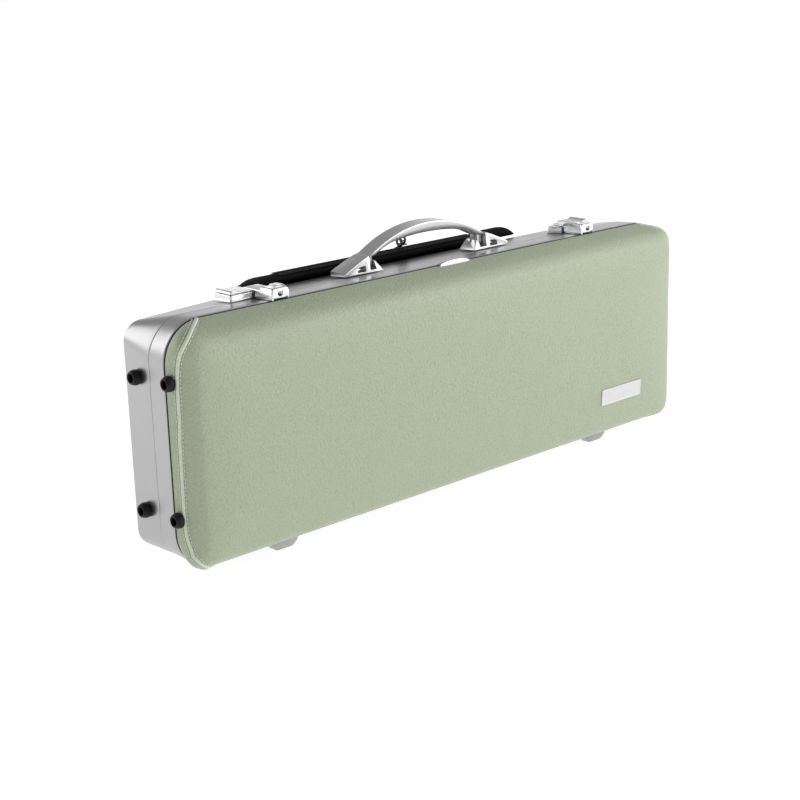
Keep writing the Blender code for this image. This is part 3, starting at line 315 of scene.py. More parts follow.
def loft_data(rings, closed=False, caps=True):
    """Points, faces and lengthwise UVs of a skin through rings of equal count."""
    n, m = len(rings[0]), len(rings)
    points = [p for ring in rings for p in ring]
    rounds = []
    for ring in rings:
        run = [0.0]
        for j in range(n):
            run.append(run[-1] + (Vector(ring[(j + 1) % n]) - Vector(ring[j])).length / 1000)
        rounds.append(run)
    away = [0.0]
    for k in range(m if closed else m - 1):
        a, b = rings[k], rings[(k + 1) % m]
        away.append(away[-1] + sum((Vector(b[j]) - Vector(a[j])).length for j in range(0, n, max(1, n // 8))) / len(range(0, n, max(1, n // 8))) / 1000)
    faces, uvs = [], []
    for k in range(m if closed else m - 1):
        a, b = k * n, ((k + 1) % m) * n
        ra, rb = rounds[k], rounds[(k + 1) % m]
        for j in range(n):
            faces.append((a + j, a + (j + 1) % n, b + (j + 1) % n, b + j))
            uvs.append(((ra[j], away[k]), (ra[j + 1], away[k]), (ra[j + 1], away[k + 1]), (ra[j], away[k + 1])))
    if caps and not closed:
        for start, ring in ((0, rings[0]), ((m - 1) * n, rings[-1])):
            for face in cap_faces(n):
                faces.append(tuple(start + k for k in face))
                uvs.append(tuple((ring[k][0] / 1000, (ring[k][1] + ring[k][2]) / 1000) for k in face))
    return points, faces, uvs


def loft(name, rings, body, slot, nodes=(), closed=False, caps=True, look=None, sharp=32.0):
    points, faces, uvs = loft_data(rings, closed, caps)
    return piece(name, points, faces, body, slot, nodes, look, uvs, sharp)


def joined(parts):
    """Several (points, faces) sets as one."""
    points, faces = [], []
    for p, f in parts:
        start = len(points)
        points += p
        faces += [tuple(i + start for i in face) for face in f]
    return points, faces


def catmull(a, b, c, d, t):
    return 0.5 * (2 * b + (c - a) * t + (2 * a - 5 * b + 4 * c - d) * t * t + (3 * b - a - 3 * c + d) * t**3)


def along(rows, s):
    """A smooth curve through rows at position s, counted in rows."""
    last = len(rows) - 1
    s = min(max(s, 0.0), float(last))
    k = min(int(s), last - 1)
    t = s - k
    return tuple(catmull(a, b, c, d, t) for a, b, c, d in zip(rows[max(k - 1, 0)], rows[k], rows[k + 1], rows[min(k + 2, last)]))


def steps(a, b, n):
    return [a + (b - a) * i / n for i in range(n + 1)]


# ------------------------------------------------------------------ outlines
HALF, ZB, ZT, MIDDLE = 400.0, 14.0, 284.0, 149.0
SPANS = ((7, 14, 0, 1), (21, 24, 1, 2), (31, 38, 2, 3), (45, 48, 3, 0))
ARCS = (0, 14, 24, 38)


def outline_at(u, side, top, bottom, r):
    """A point of the rounded outline at position u, 0 to 48, from the top right corner."""
    u %= 48.0
    x0, x1, z0, z1 = -HALF + side, HALF - side, ZB + bottom, ZT - top
    centres = ((x1 - r, z1 - r), (x0 + r, z1 - r), (x0 + r, z0 + r), (x1 - r, z0 + r))

    def arc(k, f):
        a = math.radians(90 * k + 90 * f)
        return centres[k][0] + r * math.cos(a), centres[k][1] + r * math.sin(a)

    for k, start in enumerate(ARCS):
        if start <= u <= start + 7:
            return arc(k, (u - start) / 7)
    for a, b, i, j in SPANS:
        if a <= u <= b:
            p, q, t = arc(i, 1.0), arc(j, 0.0), (u - a) / (b - a)
            return p[0] + (q[0] - p[0]) * t, p[1] + (q[1] - p[1]) * t


ROUND = []
for k, (a, b, _, _) in enumerate(SPANS):
    ROUND += steps(ARCS[k], ARCS[k] + 7, 14)[:-1] + steps(a, b, 52 if k in (0, 2) else 20)[:-1]


def ring(side, top, bottom, r, y, bend=0.0):
    out = []
    for u in ROUND:
        x, z = outline_at(u, side, top, bottom, r)
        if bend:
            drop = 6.0 * bend * min(max((abs(x) - 255.0) / 145.0, 0.0), 1.0) ** 1.25
            z -= math.copysign(drop, z - MIDDLE) * min(abs(z - MIDDLE) / 90.0, 1.0)
        out.append((x, y, z))
    return out


def band(inset, y):
    return ring(inset, inset, inset, 46.0 - inset, y)


def rear_band(y, extra=0.0):
    k = (y - 27.9) / 46.8
    s, t = 0.9 + 1.9 * k, 0.9 + 4.0 * k
    return ring(s + extra, t + extra, t + extra, 46.0 - 25.0 * k - extra, y, k)


# ------------------------------------------------------------------ frames
loft("lid_band", [
    band(i, y) for i, y in (
        (1.5, 0.0), (1.0, 0.05), (0.62, 0.3), (0.3, 0.75), (0.1, 1.4), (0.0, 3.0), (0.06, 7.0), (0.3, 12.0), (0.52, 17.0),
        (0.72, 21.0), (0.85, 25.2), (0.9, 26.3), (1.05, 26.75), (1.4, 26.95), (1.9, 27.0), (5.0, 27.0), (5.0, 0.0),
    )
], "lid", "frame_aluminium", ("lid_frame",), closed=True, sharp=50)
loft("rear_band", [
    rear_band(27.55, 1.4), rear_band(27.57, 0.7), rear_band(27.75, 0.3), rear_band(28.1, 0.08), rear_band(28.8), rear_band(36), rear_band(44),
    rear_band(52), rear_band(60), rear_band(68), rear_band(72.6), rear_band(73.6, 0.15), rear_band(74.3, 0.55), rear_band(74.7, 1.3),
    rear_band(74.7, 4.6), rear_band(44, 4.4), rear_band(27.9, 4.3),
], "case_back", "frame_aluminium", ("rear_frame",), closed=True, sharp=50)
loft("seal_strip", [band(2.1, 27.0), band(1.9, 27.3), band(2.1, 27.6), band(4.8, 27.6), band(4.8, 27.0)], "case_back", "rubber_black", ("frame_seal",), closed=True)
loft("lid_gasket_strip", [band(0.5, -2.3), band(0.0, -1.9), band(-0.1, -1.2), band(0.05, -0.6), band(0.5, -0.3), band(4.6, -0.3), band(4.6, -2.2)], "lid", "rubber_black", ("lid_gasket",), closed=True)

# ------------------------------------------------------------------ lid shell
LID = (
    (0.6, 0.6, 0.6, 45.0, -2.5), (1.0, 3.0, 2.6, 32.0, -9.0), (2.5, 6.7, 6.4, 19.0, -19.0), (7.0, 11.4, 10.7, 16.0, -27.4),
    (12.9, 18.0, 15.4, 16.0, -33.9), (20.0, 26.4, 21.6, 17.0, -37.7), (37.5, 42.0, 38.0, 19.0, -40.8), (62.0, 63.0, 60.0, 19.0, -43.0),
    (98.0, 92.0, 90.0, 18.0, -44.2), (112.0, 108.0, 106.0, 10.0, -44.4), (124.0, 124.0, 122.0, 6.0, -44.5),
)


def worked(p):
    """Small unevenness of the stretched cloth."""
    x, y, z = p
    depth = min(max((-y - 24.0) / 16.0, 0.0), 1.0)
    lift = noise.noise(Vector((x, y, z)) * 0.014) * 0.5 + noise.noise(Vector((x, z, 40.0)) * 0.04) * 0.12
    return (x, y + lift * depth, z)


def lid_point(u, s):
    side, top, bottom, r, y = along(LID, s)
    x, z = outline_at(u, side, top, bottom, r)
    return (x, y, z)


def lid_depth(y):
    """The row position on the lid's table with depth y."""
    low, high = 0.0, 8.0
    for _ in range(40):
        middle = (low + high) / 2
        if along(LID, middle)[4] > y:
            low = middle
        else:
            high = middle
    return low


def lid_inner(grow, shift, s):
    side, top, bottom, r, y = along(LID, s)
    return ring(side + grow, top + grow, bottom + grow, max(r - grow, 4.0), y + shift)


outer = [[worked(p) for p in ring(*along(LID, s))] for s in steps(0, 10, 50)]
inner = [lid_inner(3.4 - 1.5 * min(s / 5, 1), 3.0 * min(s / 5, 1), s) for s in steps(0, 8, 16)]
loft("lid_leather", outer[::-1] + inner, "lid", "leather_green", ("lid_shell",), sharp=60)

# ------------------------------------------------------------------ back shell
BACK = (
    (4.0, 6.2, 6.2, 20.0, 75.0), (10.0, 10.0, 10.0, 20.0, 82.0), (15.6, 15.6, 15.6, 21.0, 88.5),
    (24.0, 24.0, 24.0, 23.0, 93.5), (38.0, 38.0, 38.0, 25.0, 96.4), (60.0, 60.0, 60.0, 24.0, 97.3),
)
back_outer = [ring(*along(BACK, s), 1.0) for s in steps(0, 5, 25)]
back_inner = []
for s in steps(0, 5, 10):
    side, top, bottom, r, y = along(BACK, s)
    w = min(s / 3, 1.0)
    grow = 3.2 * (1.15 - 0.55 * w)
    back_inner.append(ring(side + grow, top + grow, bottom + grow, max(r - grow, 6), y - 3.2 * w, 1.0))
loft("back_leather", back_outer[::-1] + back_inner, "case_back", "leather_green", ("rear_shell",), sharp=60)

# ------------------------------------------------------------------ piping and stitching on the lid's ends
SEAM = (
    (0.04, -3.2), (-0.02, -5.76), (-0.037, -9.08), (-0.045, -12.51), (-0.045, -15.69), (-0.035, -18.91), (-0.007, -21.96), (0.84, -24.34),
    (1.72, -25.63), (2.5, -26.41), (3.24, -26.87), (3.94, -27.02), (4.62, -27.02), (5.26, -26.72), (5.9, -26.26), (6.56, -25.63), (7.02, -24.66),
    (7.04, -24.17), (7.08, -23.33), (7.12, -22.65), (7.16, -21.96), (7.18, -21.79), (7.22, -21.26), (7.26, -20.9), (7.3, -20.54), (7.34, -20.18),
    (7.38, -20.0), (7.44, -19.82), (7.5, -19.64), (7.56, -19.46), (7.62, -19.46), (7.74, -19.46), (7.88, -19.46), (7.98, -19.46), (8.086, -19.011),
    (8.194, -18.549), (8.3, -18.1), (8.463, -17.967), (8.693, -17.778), (8.9, -17.6), (9.052, -17.433), (9.181, -17.278), (9.3, -17.2),
    (9.413, -17.196), (9.516, -17.27), (9.6, -17.5), (9.655, -17.95), (9.7, -18.5), (9.738, -19.15), (9.774, -19.85), (9.81, -20.6),
    (9.846, -21.4), (9.886, -22.25), (9.93, -23.15), (10.02, -24.1), (10.35, -25.1), (10.76, -26.0), (11.2, -26.75), (11.654, -27.304),
    (12.127, -27.641), (12.6, -27.9), (13.067, -28.104), (13.533, -28.23), (14.0, -28.3), (14.485, -28.352), (14.97, -28.348), (15.4, -28.2),
    (15.754, -27.956), (16.052, -27.567), (16.3, -26.8), (16.493, -25.57), (16.635, -23.963), (16.75, -22.0), (16.839, -19.615), (16.9, -16.874),
    (16.95, -14.0), (16.994, -10.681), (17.028, -7.23), (17.05, -4.8),
)


def straight(rows, s):
    """A place on a chain of close rows, between its rows in proportion."""
    last = len(rows) - 1
    s = min(max(s, 0.0), float(last))
    k = min(int(s), last - 1)
    return tuple(a + (b - a) * (s - k) for a, b in zip(rows[k], rows[k + 1]))


def seam_frame(left, s):
    """Point, direction, sideways and outward vectors of the seam."""

    def at(s, du=0.0, dk=0.0):
        t, y = straight(SEAM, s)
        return Vector(lid_point((14.0 + t if left else 7.0 - t) + du, lid_depth(y) + dk))

    p = at(s)
    ahead = (at(min(s + 0.8, len(SEAM) - 1)) - at(max(s - 0.8, 0))).normalized()
    out = (at(s, 0.08) - at(s, -0.08)).cross(at(s, 0, 0.06) - at(s, 0, -0.06)).normalized()
    if out.dot(p - Vector((p.x * 0.9, 30.0, MIDDLE))) < 0:
        out.negate()
    side = ahead.cross(out).normalized()
    return p, ahead, side, out


def seam_table(left):
    """The seam's frames at even steps of 0.5 mm."""
    rough = [seam_frame(left, s) for s in steps(0, len(SEAM) - 1, (len(SEAM) - 1) * 4)]
    run = [0.0]
    for a, b in zip(rough, rough[1:]):
        run.append(run[-1] + (b[0] - a[0]).length)
    table, k = [], 0
    total = run[-1]
    for d in steps(0, total, int(total / 0.8)):
        while k < len(run) - 2 and run[k + 1] < d:
            k += 1
        t = (d - run[k]) / max(run[k + 1] - run[k], 1e-6)
        table.append(tuple(a.lerp(b, t) for a, b in zip(rough[k], rough[k + 1])))
    for _ in range(7):
        table = [table[0]] + [
            (a[0] * 0.25 + b[0] * 0.5 + c[0] * 0.25,) + tuple((a[i] + b[i] * 2 + c[i]).normalized() for i in (1, 2, 3))
            for a, b, c in zip(table, table[1:], table[2:])
        ] + [table[-1]]
    return table, total


def seam(label, left):
    table, total = seam_table(left)
    last = len(table) - 1
    rings = []
    for k, (p, ahead, side, out) in enumerate(table[::2]):
        near = min(2 * k, last - 2 * k) / 3.0
        tall = (2.1 if left else 1.3) * min(1.0, 0.45 + 0.55 * near)
        wide = 2.15 * min(1.0, 0.7 + 0.3 * near)
        rings.append([
            tuple(p + side * (wide * math.cos(a)) + out * (0.15 + tall * math.sin(a) * (1.0 if math.sin(a) > 0 else 0.35)))
            for a in [2 * math.pi * j / 16 for j in range(16)]
        ])
    loft("piping_bead_" + label, rings, "lid", "leather_piping", ("piping_" + label,), sharp=70)
    sets = []
    pitch, length, radius = 4.4, 3.2, 0.5
    for offset in (-3.4, 4.2):
        d = 5.0
        while d < total - 6.0:
            ring_set = []
            for i in range(6):
                f = i / 5
                k = min(int((d + length * f) / total * last), last)
                p, ahead, side, out = table[k]
                q = p + side * offset
                r = radius * (0.45 if i in (0, 5) else 1.0)
                lift = 0.34 * math.sin(math.pi * f) - 0.12
                c = q + out * lift
                ring_set.append([tuple(c + side * (r * math.cos(a)) + out * (r * math.sin(a))) for a in [2 * math.pi * j / 6 for j in range(6)]])
            points, faces, _ = loft_data(ring_set)
            sets.append((points, faces))
            d += pitch
    points, faces = joined(sets)
    piece("stitching_" + label, points, faces, "lid", "leather_piping", (), "thread", sharp=80)


seam("left", True)
seam("right", False)


# ------------------------------------------------------------------ lathes, plates and tubes
def lathe(profile, centre, axis, n=48):
    """Points and faces of a turned body. profile is (distance along the axis, radius)."""
    points, faces = [], []
    for d, r in profile:
        for i in range(n):
            a = 2 * math.pi * i / n
            v, w = r * math.cos(a), r * math.sin(a)
            x, y, z = centre
            points.append((d, y + v, z + w) if axis == "X" else (x + v, d, z + w) if axis == "Y" else (x + v, y + w, d))
    m = len(profile)
    for k in range(m - 1):
        for i in range(n):
            faces.append((k * n + i, k * n + (i + 1) % n, (k + 1) * n + (i + 1) % n, (k + 1) * n + i))
    faces += [tuple(range(n)), tuple(range((m - 1) * n, m * n))]
    return points, faces


def rounded_run(points, sub=5):
    """A profile with its corners eased by a smooth curve."""
    return [along(points, s) for s in steps(0, len(points) - 1, (len(points) - 1) * sub)]


for spot, z in (("upper", 222.0), ("lower", 76.0)):
    for half, y, dz, bx, br in (("rear", 49.8, -1.2, -398.6, 7.0), ("front", -12.0, 3.0 if spot == "upper" else 2.6, -399.8, 3.7)):
        tip = bx - 9.2
        profile = [(bx, br - 0.8), (bx - 1.2, br)]
        profile += rounded_run([(bx - 0.6, 8.0), (bx - 1.6, 8.4), (bx - 3.4, 8.5), (bx - 5.6, 8.1), (tip + 1.8, 7.4), (tip + 0.7, 6.9), (tip + 0.1, 6.2), (tip + 0.05, 5.5), (tip + 0.5, 4.9), (tip + 1.6, 4.6), (tip + 3.6, 4.4), (bx - 2.6, 4.1)], 4)
        points, faces = lathe(profile, (0, y, z + dz), "X", 44)
        piece(f"end_bumper_{half}_{spot}", points, faces, "case_back" if half == "rear" else "lid", "rubber_black", (f"bumper_{half}_{spot}",), sharp=40)


# ------------------------------------------------------------------ name plate
def lid_face(x, z):
    """Depth of the lid's outside at a place on its face."""
    best = 0.0
    low, high = 2.0, 8.0
    for _ in range(30):
        s = (low + high) / 2
        side, top, bottom, r, y = along(LID, s)
        inside = abs(x) < HALF - side and ZB + bottom < z < ZT - top
        if inside:
            low = s
        else:
            high = s
    return along(LID, low)[4] if low < 7.999 else -44.3


def plate_piece():
    x0, x1, z0, z1, r = 238.5, 317.0, 66.5, 87.3, 0.9
    edge = []
    for cx, cz, a0 in ((x1 - r, z1 - r, 0), (x0 + r, z1 - r, 90), (x0 + r, z0 + r, 180), (x1 - r, z0 + r, 270)):
        edge += [(cx + r * math.cos(math.radians(a0 + 18 * i)), cz + r * math.sin(math.radians(a0 + 18 * i))) for i in range(6)]
    fine = []
    for i, (x, z) in enumerate(edge):
        nx, nz = edge[(i + 1) % len(edge)]
        count = max(1, int(math.hypot(nx - x, nz - z) / 4))
        fine += [(x + (nx - x) * k / count, z + (nz - z) * k / count) for k in range(count)]
    cx, cz = (x0 + x1) / 2, (z0 + z1) / 2
    rings = []
    for shrink, lift in ((0.0, 0.1), (0.0, 1.0), (0.15, 1.3), (0.5, 1.45), (1.0, 1.45), (1.25, 1.32), (1.6, 1.28), (6.0, 1.28)):
        row = []
        for x, z in fine:
            px = x - math.copysign(min(shrink, abs(x - cx)), x - cx)
            pz = z - math.copysign(min(shrink, abs(z - cz)), z - cz)
            row.append((px, lid_face(px, pz) - lift, pz))
        rings.append(row)
    loft("bare_plate", rings, "lid", "plate_silver", ("name_plate",), sharp=30)


plate_piece()


# ------------------------------------------------------------------ grip
def softened(poly, radii, n=5):
    out = []
    m = len(poly)
    for i in range(m):
        p, q, s = Vector(poly[i - 1]), Vector(poly[i]), Vector(poly[(i + 1) % m])
        r = radii[i]
        a = q + (p - q).normalized() * r
        b = q + (s - q).normalized() * r
        for k in range(n + 1):
            t = k / n
            v = a * (1 - t) ** 2 + q * (2 * t * (1 - t)) + b * t * t
            out.append((v.x, v.y))
    return out


def grip_top(u):
    return 330.2 - (178.0 - math.sqrt(178.0**2 - u * u))


def grip_bottom(u):
    a = abs(u)
    if a <= 60:
        return 317.2 - 5.4 * (a / 60.0) ** 2.2
    if a <= 86:
        return 311.8 - 11.0 * ((a - 60.0) / 26.0) ** 1.15
    return 300.8


rings = []
for u in [-95.6, -95.3, -94.6] + steps(-93.5, 93.5, 72) + [94.6, 95.3, 95.6]:
    zt = grip_top(u)
    zb = 0.5 * grip_bottom(u) + 0.25 * (grip_bottom(u - 2.5) + grip_bottom(u + 2.5))
    shrink = 1.3 if abs(u) > 95.5 else 0.5 if abs(u) > 95.0 else 0.15 if abs(u) > 94 else 0.0
    half = 12.0 - 0.8 * (abs(u) / 95.6) ** 2 - shrink
    zt, zb = zt - shrink, zb + shrink
    t = zt - zb
    section = softened(
        [(-half + 1.9, zt - 0.35), (-half + 0.8, zt), (-half + 0.0, zt - 1.2), (-half + 0.15, zb + 0.42 * t), (-half + 3.6, zb), (half - 3.6, zb), (half - 0.15, zb + 0.42 * t), (half, zt - 1.2), (half - 0.8, zt), (half - 1.9, zt - 0.35)],
        [0.35, 0.5, 0.6, 2.0, 2.4, 2.4, 2.0, 0.6, 0.5, 0.35], 3)
    rings.append([(8.5 + u, 42.0 + y, z) for y, z in section])
points, faces, _ = loft_data(rings)
parts = [(points, faces)]
for side in (-1, 1):
    a, b = sorted((8.5 + side * 95.2, 8.5 + side * 86.8))
    for r, (xa, xb) in ((6.0, (a, b)),):
        tang = [(42.0 + r * math.cos(t), 293.5 + r * math.sin(t)) for t in [math.radians(d) for d in range(180, 361, 6)]]
        tang += [(48.0, 302.0), (36.0, 302.0)]
        rows = []
        for x, inset in ((xa, 0.7), (xa + 0.25, 0.2), (xa + 0.7, 0.0), (xb - 0.7, 0.0), (xb - 0.25, 0.2), (xb, 0.7)):
            rows.append([(x, 42.0 + (y - 42.0) * (6.0 - inset) / 6.0, 293.5 + (z - 293.5) * (6.0 - inset) / 6.0 if z < 300 else z) for y, z in tang])
        tp, tf, _ = loft_data(rows)
        parts.append((tp, tf))
points, faces = joined(parts)
piece("carry_grip", points, faces, "grip", "handle_metal", ("handle_grip",), sharp=38)

# ------------------------------------------------------------------ finger tab
rows = []
for u in steps(-1.0, 1.0, 44):
    k = max(1.0 - u * u, 0.0) ** 0.55
    x = TAB_X + 24.6 * u * (1.0 + 0.012 * k)
    low = 282.9 - 1.1 * k
    section = [
        (5.0 - 1.5 * (1 - k), 283.9), (4.6 - 1.5 * (1 - k), 284.1 + 0.4 * k), (1.0, 284.2 + 2.2 * k), (-1.6, 284.3 + 3.7 * k), (-2.9, 284.2 + 4.1 * k),
        (-3.7, 284.0 + 3.8 * k), (-4.6 - 0.3 * k, 283.8 + 1.4 * k), (-5.0 - 0.4 * k, low + 0.5), (-4.9 - 0.3 * k, low), (-4.0, low - 0.2 * k), (-2.6, low + 0.2),
    ]
    rows.append([(x, y, z) for y, z in softened(section, [0.25, 0.3, 0.8, 0.6, 0.5, 0.4, 0.8, 0.3, 0.3, 0.4, 0.3], 3)])
loft("half_moon_tab", rows, "lid", "fitting_chrome", ("finger_tab",), look="frame_aluminium", sharp=40)

# ------------------------------------------------------------------ music pocket
PX0, PX1, PZ0 = -232.0, 213.0, 66.0


def pocket_at(u, side, bottom, top, r):
    x0, x1, z0, z1 = PX0 + side, PX1 - side, PZ0 + bottom, top
    centres = ((x1 - r, z1 - r), (x0 + r, z1 - r), (x0 + r, z0 + r), (x1 - r, z0 + r))
    k = int(u) % 4
    f = u - int(u)
    if f < 0.5:
        a = math.radians(90 * k + 180 * f)
        return centres[k][0] + r * math.cos(a), centres[k][1] + r * math.sin(a)
    a, b = math.radians(90 * (k + 1)), math.radians(90 * (k + 1))
    p = (centres[k][0] + r * math.cos(a), centres[k][1] + r * math.sin(a))
    q = centres[(k + 1) % 4]
    q = (q[0] + r * math.cos(b), q[1] + r * math.sin(b))
    t = (f - 0.5) * 2
    return p[0] + (q[0] - p[0]) * t, p[1] + (q[1] - p[1]) * t


POCKET_ROUND = []
for k in range(4):
    POCKET_ROUND += [k + 0.5 * i / 12 for i in range(12)] + [k + 0.5 + 0.5 * i / (44 if k % 2 == 0 else 22) for i in range(44 if k % 2 == 0 else 22)]
POCKET = (
    (0.0, 0.0, 286.5, 36.0, 98.0), (0.0, 0.0, 286.3, 36.0, 104.0), (3.0, 3.0, 284.0, 36.0, 112.0), (9.0, 9.0, 278.0, 34.0, 118.5),
    (20.0, 20.0, 266.0, 32.0, 122.6), (40.0, 44.0, 240.0, 28.0, 124.0),
)
POCKET_IN = (
    (3.2, 3.2, 283.6, 33.0, 98.0), (3.2, 3.2, 283.4, 33.0, 104.0), (6.0, 6.0, 281.0, 33.0, 110.4), (12.0, 12.0, 275.0, 32.0, 115.6),
    (23.0, 23.0, 263.0, 30.0, 119.6), (43.0, 47.0, 237.0, 26.0, 121.0),
)


def pocket_ring(row, sag=0.0):
    side, bottom, top, r, y = row
    out = []
    for u in POCKET_ROUND:
        x, z = pocket_at(u, side, bottom, top, r)
        crumple = noise.noise(Vector((x, y, z)) * 0.022) * 1.3 + noise.noise(Vector((x * 1.5, y, z * 0.6)) * 0.06) * 0.5
        lift = min(max((y - 99.0) / 12.0, 0.0), 1.0) * sag
        out.append((x, y + (crumple - 0.7) * lift, z + crumple * 0.25 * lift))
    return out


pocket_rings = [pocket_ring(along(POCKET, s), 1.0) for s in steps(0, 5, 30)]
for i in (10.0, 26.0, 44.0):
    pocket_rings.append(pocket_ring((40.0 + i, 44.0 + i, 240.0 - i, max(28.0 - i * 0.5, 6.0), 124.0), 1.0))
pocket_inner = [pocket_ring(along(POCKET_IN, s)) for s in steps(0, 5, 15)]
loft("pocket_cloth", pocket_rings[::-1] + pocket_inner, "case_back", "fabric_black", ("pocket_panel",), sharp=70)
# a bound edge with a raised cord round the pocket, where the panel meets its side
cord_rows = []
for u in POCKET_ROUND:
    x, z = pocket_at(u, 5.2, 5.2, 282.4, 35.6)
    x2, z2 = pocket_at(u, 6.2, 6.2, 281.4, 35.2)
    out = Vector((x - x2, 0, z - z2)).normalized()
    c = Vector((x, 115.2, z))
    cord_rows.append([tuple(c + out * (1.5 * math.cos(a) - 0.3) + Vector((0, 1.5 * math.sin(a), 0))) for a in [2 * math.pi * j / 8 for j in range(8)]])
loft("pocket_edge_cord", cord_rows, "case_back", "fabric_black", (), closed=True, sharp=80)

GUSSET = [(79.6, 284.0), (80.4, 286.2), (82.0, 287.6), (84.0, 288.7), (86.0, 289.3), (88.5, 289.7), (91.0, 289.8), (94.2, 289.5), (97.0, 288.6), (97.0, 286.0), (91.0, 283.2), (83.2, 279.9)]
STATIONS = ((-228, 0.3), (-222, 0.44), (-213, 0.62), (-201, 0.79), (-188, 0.91), (-172, 0.98), (-150, 1.0), (-100, 1.0), (-20, 1.0), (60, 1.0), (142, 1.0), (154, 1.1), (166, 1.2), (190, 1.2), (200, 1.05), (206, 0.75), (209, 0.4))
rings = []
for s in steps(0, len(STATIONS) - 1, (len(STATIONS) - 1) * 8):
    x, k = along(STATIONS, s)
    row = []
    for j, (y, z) in enumerate(GUSSET):
        if z > 286.5 or y < 80:
            h = 279.9 + (z - 279.9) * k
        else:
            h = z if k >= 0.9 else 279.9 + (z - 279.9) * max(k, 0.3)
        ripple = 0.22 * math.sin(x * 0.35 + j) * noise.noise(Vector((x * 0.05, j, 3.0))) if z > 288 else 0.0
        row.append((x, y, h + ripple))
    rings.append(row)
loft("pocket_top_cloth", rings, "case_back", "fabric_black", ("pocket_gusset",), sharp=60)


def block(x0, x1, y0, y1, z0, z1, b):
    """A block with a chamfer of b round its top."""
    p = [(x0, y0, z0), (x1, y0, z0), (x1, y1, z0), (x0, y1, z0), (x0, y0, z1 - b), (x1, y0, z1 - b), (x1, y1, z1 - b), (x0, y1, z1 - b),
         (x0 + b, y0 + b, z1), (x1 - b, y0 + b, z1), (x1 - b, y1 - b, z1), (x0 + b, y1 - b, z1)]
    f = [(0, 3, 2, 1), (0, 1, 5, 4), (1, 2, 6, 5), (2, 3, 7, 6), (3, 0, 4, 7), (4, 5, 9, 8), (5, 6, 10, 9), (6, 7, 11, 10), (7, 4, 8, 11), (8, 9, 10, 11)]
    return p, f


for label, y, z in (("front", 84.6, 289.3), ("rear", 92.6, 290.1)):
    sets = []
    x = -176.0
    k = 0
    while x < 134.5:
        side = 0.55 if k % 2 else -0.55
        sets.append(block(x, x + 1.25, y - 1.15 + side, y + 1.15 + side, z - 0.3, z + 0.5, 0.22))
        x += 1.5
        k += 1
    sets.append(block(-179.0, 137.0, y - 3.4, y - 1.75, z - 0.9, z + 0.02, 0.1))
    sets.append(block(-179.0, 137.0, y + 1.75, y + 3.4, z - 0.9, z + 0.02, 0.1))
    sets.append(block(-177.0, 135.6, y - 1.8, y + 1.8, z - 0.9, z - 0.28, 0.05))
    points, faces = joined(sets)
    piece(f"zip_coil_{label}", points, faces, "case_back", "zip_black", (f"pocket_zip_{label}",), sharp=30)

for label, (x, y, z) in {"left": (11.0, 84.6, 291.6), "right": (24.0, 92.6, 292.2)}.items():
    n, m = 56, 12
    points, faces = [], []
    for i in range(n):
        a = 2 * math.pi * i / n
        for j in range(m):
            b = 2 * math.pi * j / m
            r = 4.35 + 1.45 * math.cos(b)
            points.append((x + 1.45 * math.sin(b), y + r * math.cos(a), z + 7.3 + r * math.sin(a)))
    for i in range(n):
        for j in range(m):
            faces.append((i * m + j, ((i + 1) % n) * m + j, ((i + 1) % n) * m + (j + 1) % m, i * m + (j + 1) % m))
    piece(f"pull_ring_{label}", points, faces, f"zip_pull_{label}", "zip_metal", (f"zip_puller_{label}",), sharp=80)

# ------------------------------------------------------------------ linings
def lid_lining_rows(grow):
    rows = []
    for s in steps(8, 2, 18):
        side, top, bottom, r, y = along(LID, s)
        w = min(s / 5.0, 1.0)
        g = (3.2 + grow) * (1.15 - 0.55 * w)
        rows.append(ring(side + g, top + g, bottom + g, max(r - g, 6), y + (3.2 + grow) * w))
    return rows


lining = lid_lining_rows(0.6)
far = lid_lining_rows(3.4)[::-1]
loft("lid_lining_cloth", lining + [
    ring(5.5, 5.5, 5.5, 40.5, -2.8), ring(5.5, 5.5, 5.5, 40.5, 24.4), ring(5.9, 5.9, 5.9, 40.1, 25.1), ring(6.9, 6.9, 6.9, 39.1, 25.4),
    ring(7.9, 7.9, 7.9, 38.1, 25.1), ring(8.3, 8.3, 8.3, 37.7, 24.4), ring(8.3, 8.3, 8.3, 37.7, -2.8),
] + far, "lid", "lining_grey", ("lid_lining",), sharp=70)
base_out, base_in = [], []
for s in steps(0.8, 5, 14):
    side, top, bottom, r, y = along(BACK, s)
    w = min(s / 3, 1.0)
    for rows, wall in ((base_out, 3.8), (base_in, 6.8)):
        g = wall * (1.15 - 0.55 * w)
        rows.append(ring(side + g, top + g, bottom + g, max(r - g, 6), y - wall * w, 1.0))
loft("base_lining_cloth", base_out[::-1] + [
    rear_band(74.0, 5.6), rear_band(30.0, 5.0), rear_band(29.2, 5.5), rear_band(29.0, 6.5), rear_band(29.2, 7.5), rear_band(30.0, 8.0), rear_band(74.0, 8.6),
] + base_in, "case_back", "lining_grey", ("base_lining",), sharp=70)


def push_out(mesh, amount):
    """Moves each point along its normal by amount(point)."""
    moved = [v.co + v.normal * amount(v.co) for v in mesh.vertices]
    mesh.vertices.foreach_set("co", [c for v in moved for c in v])
    mesh.update()


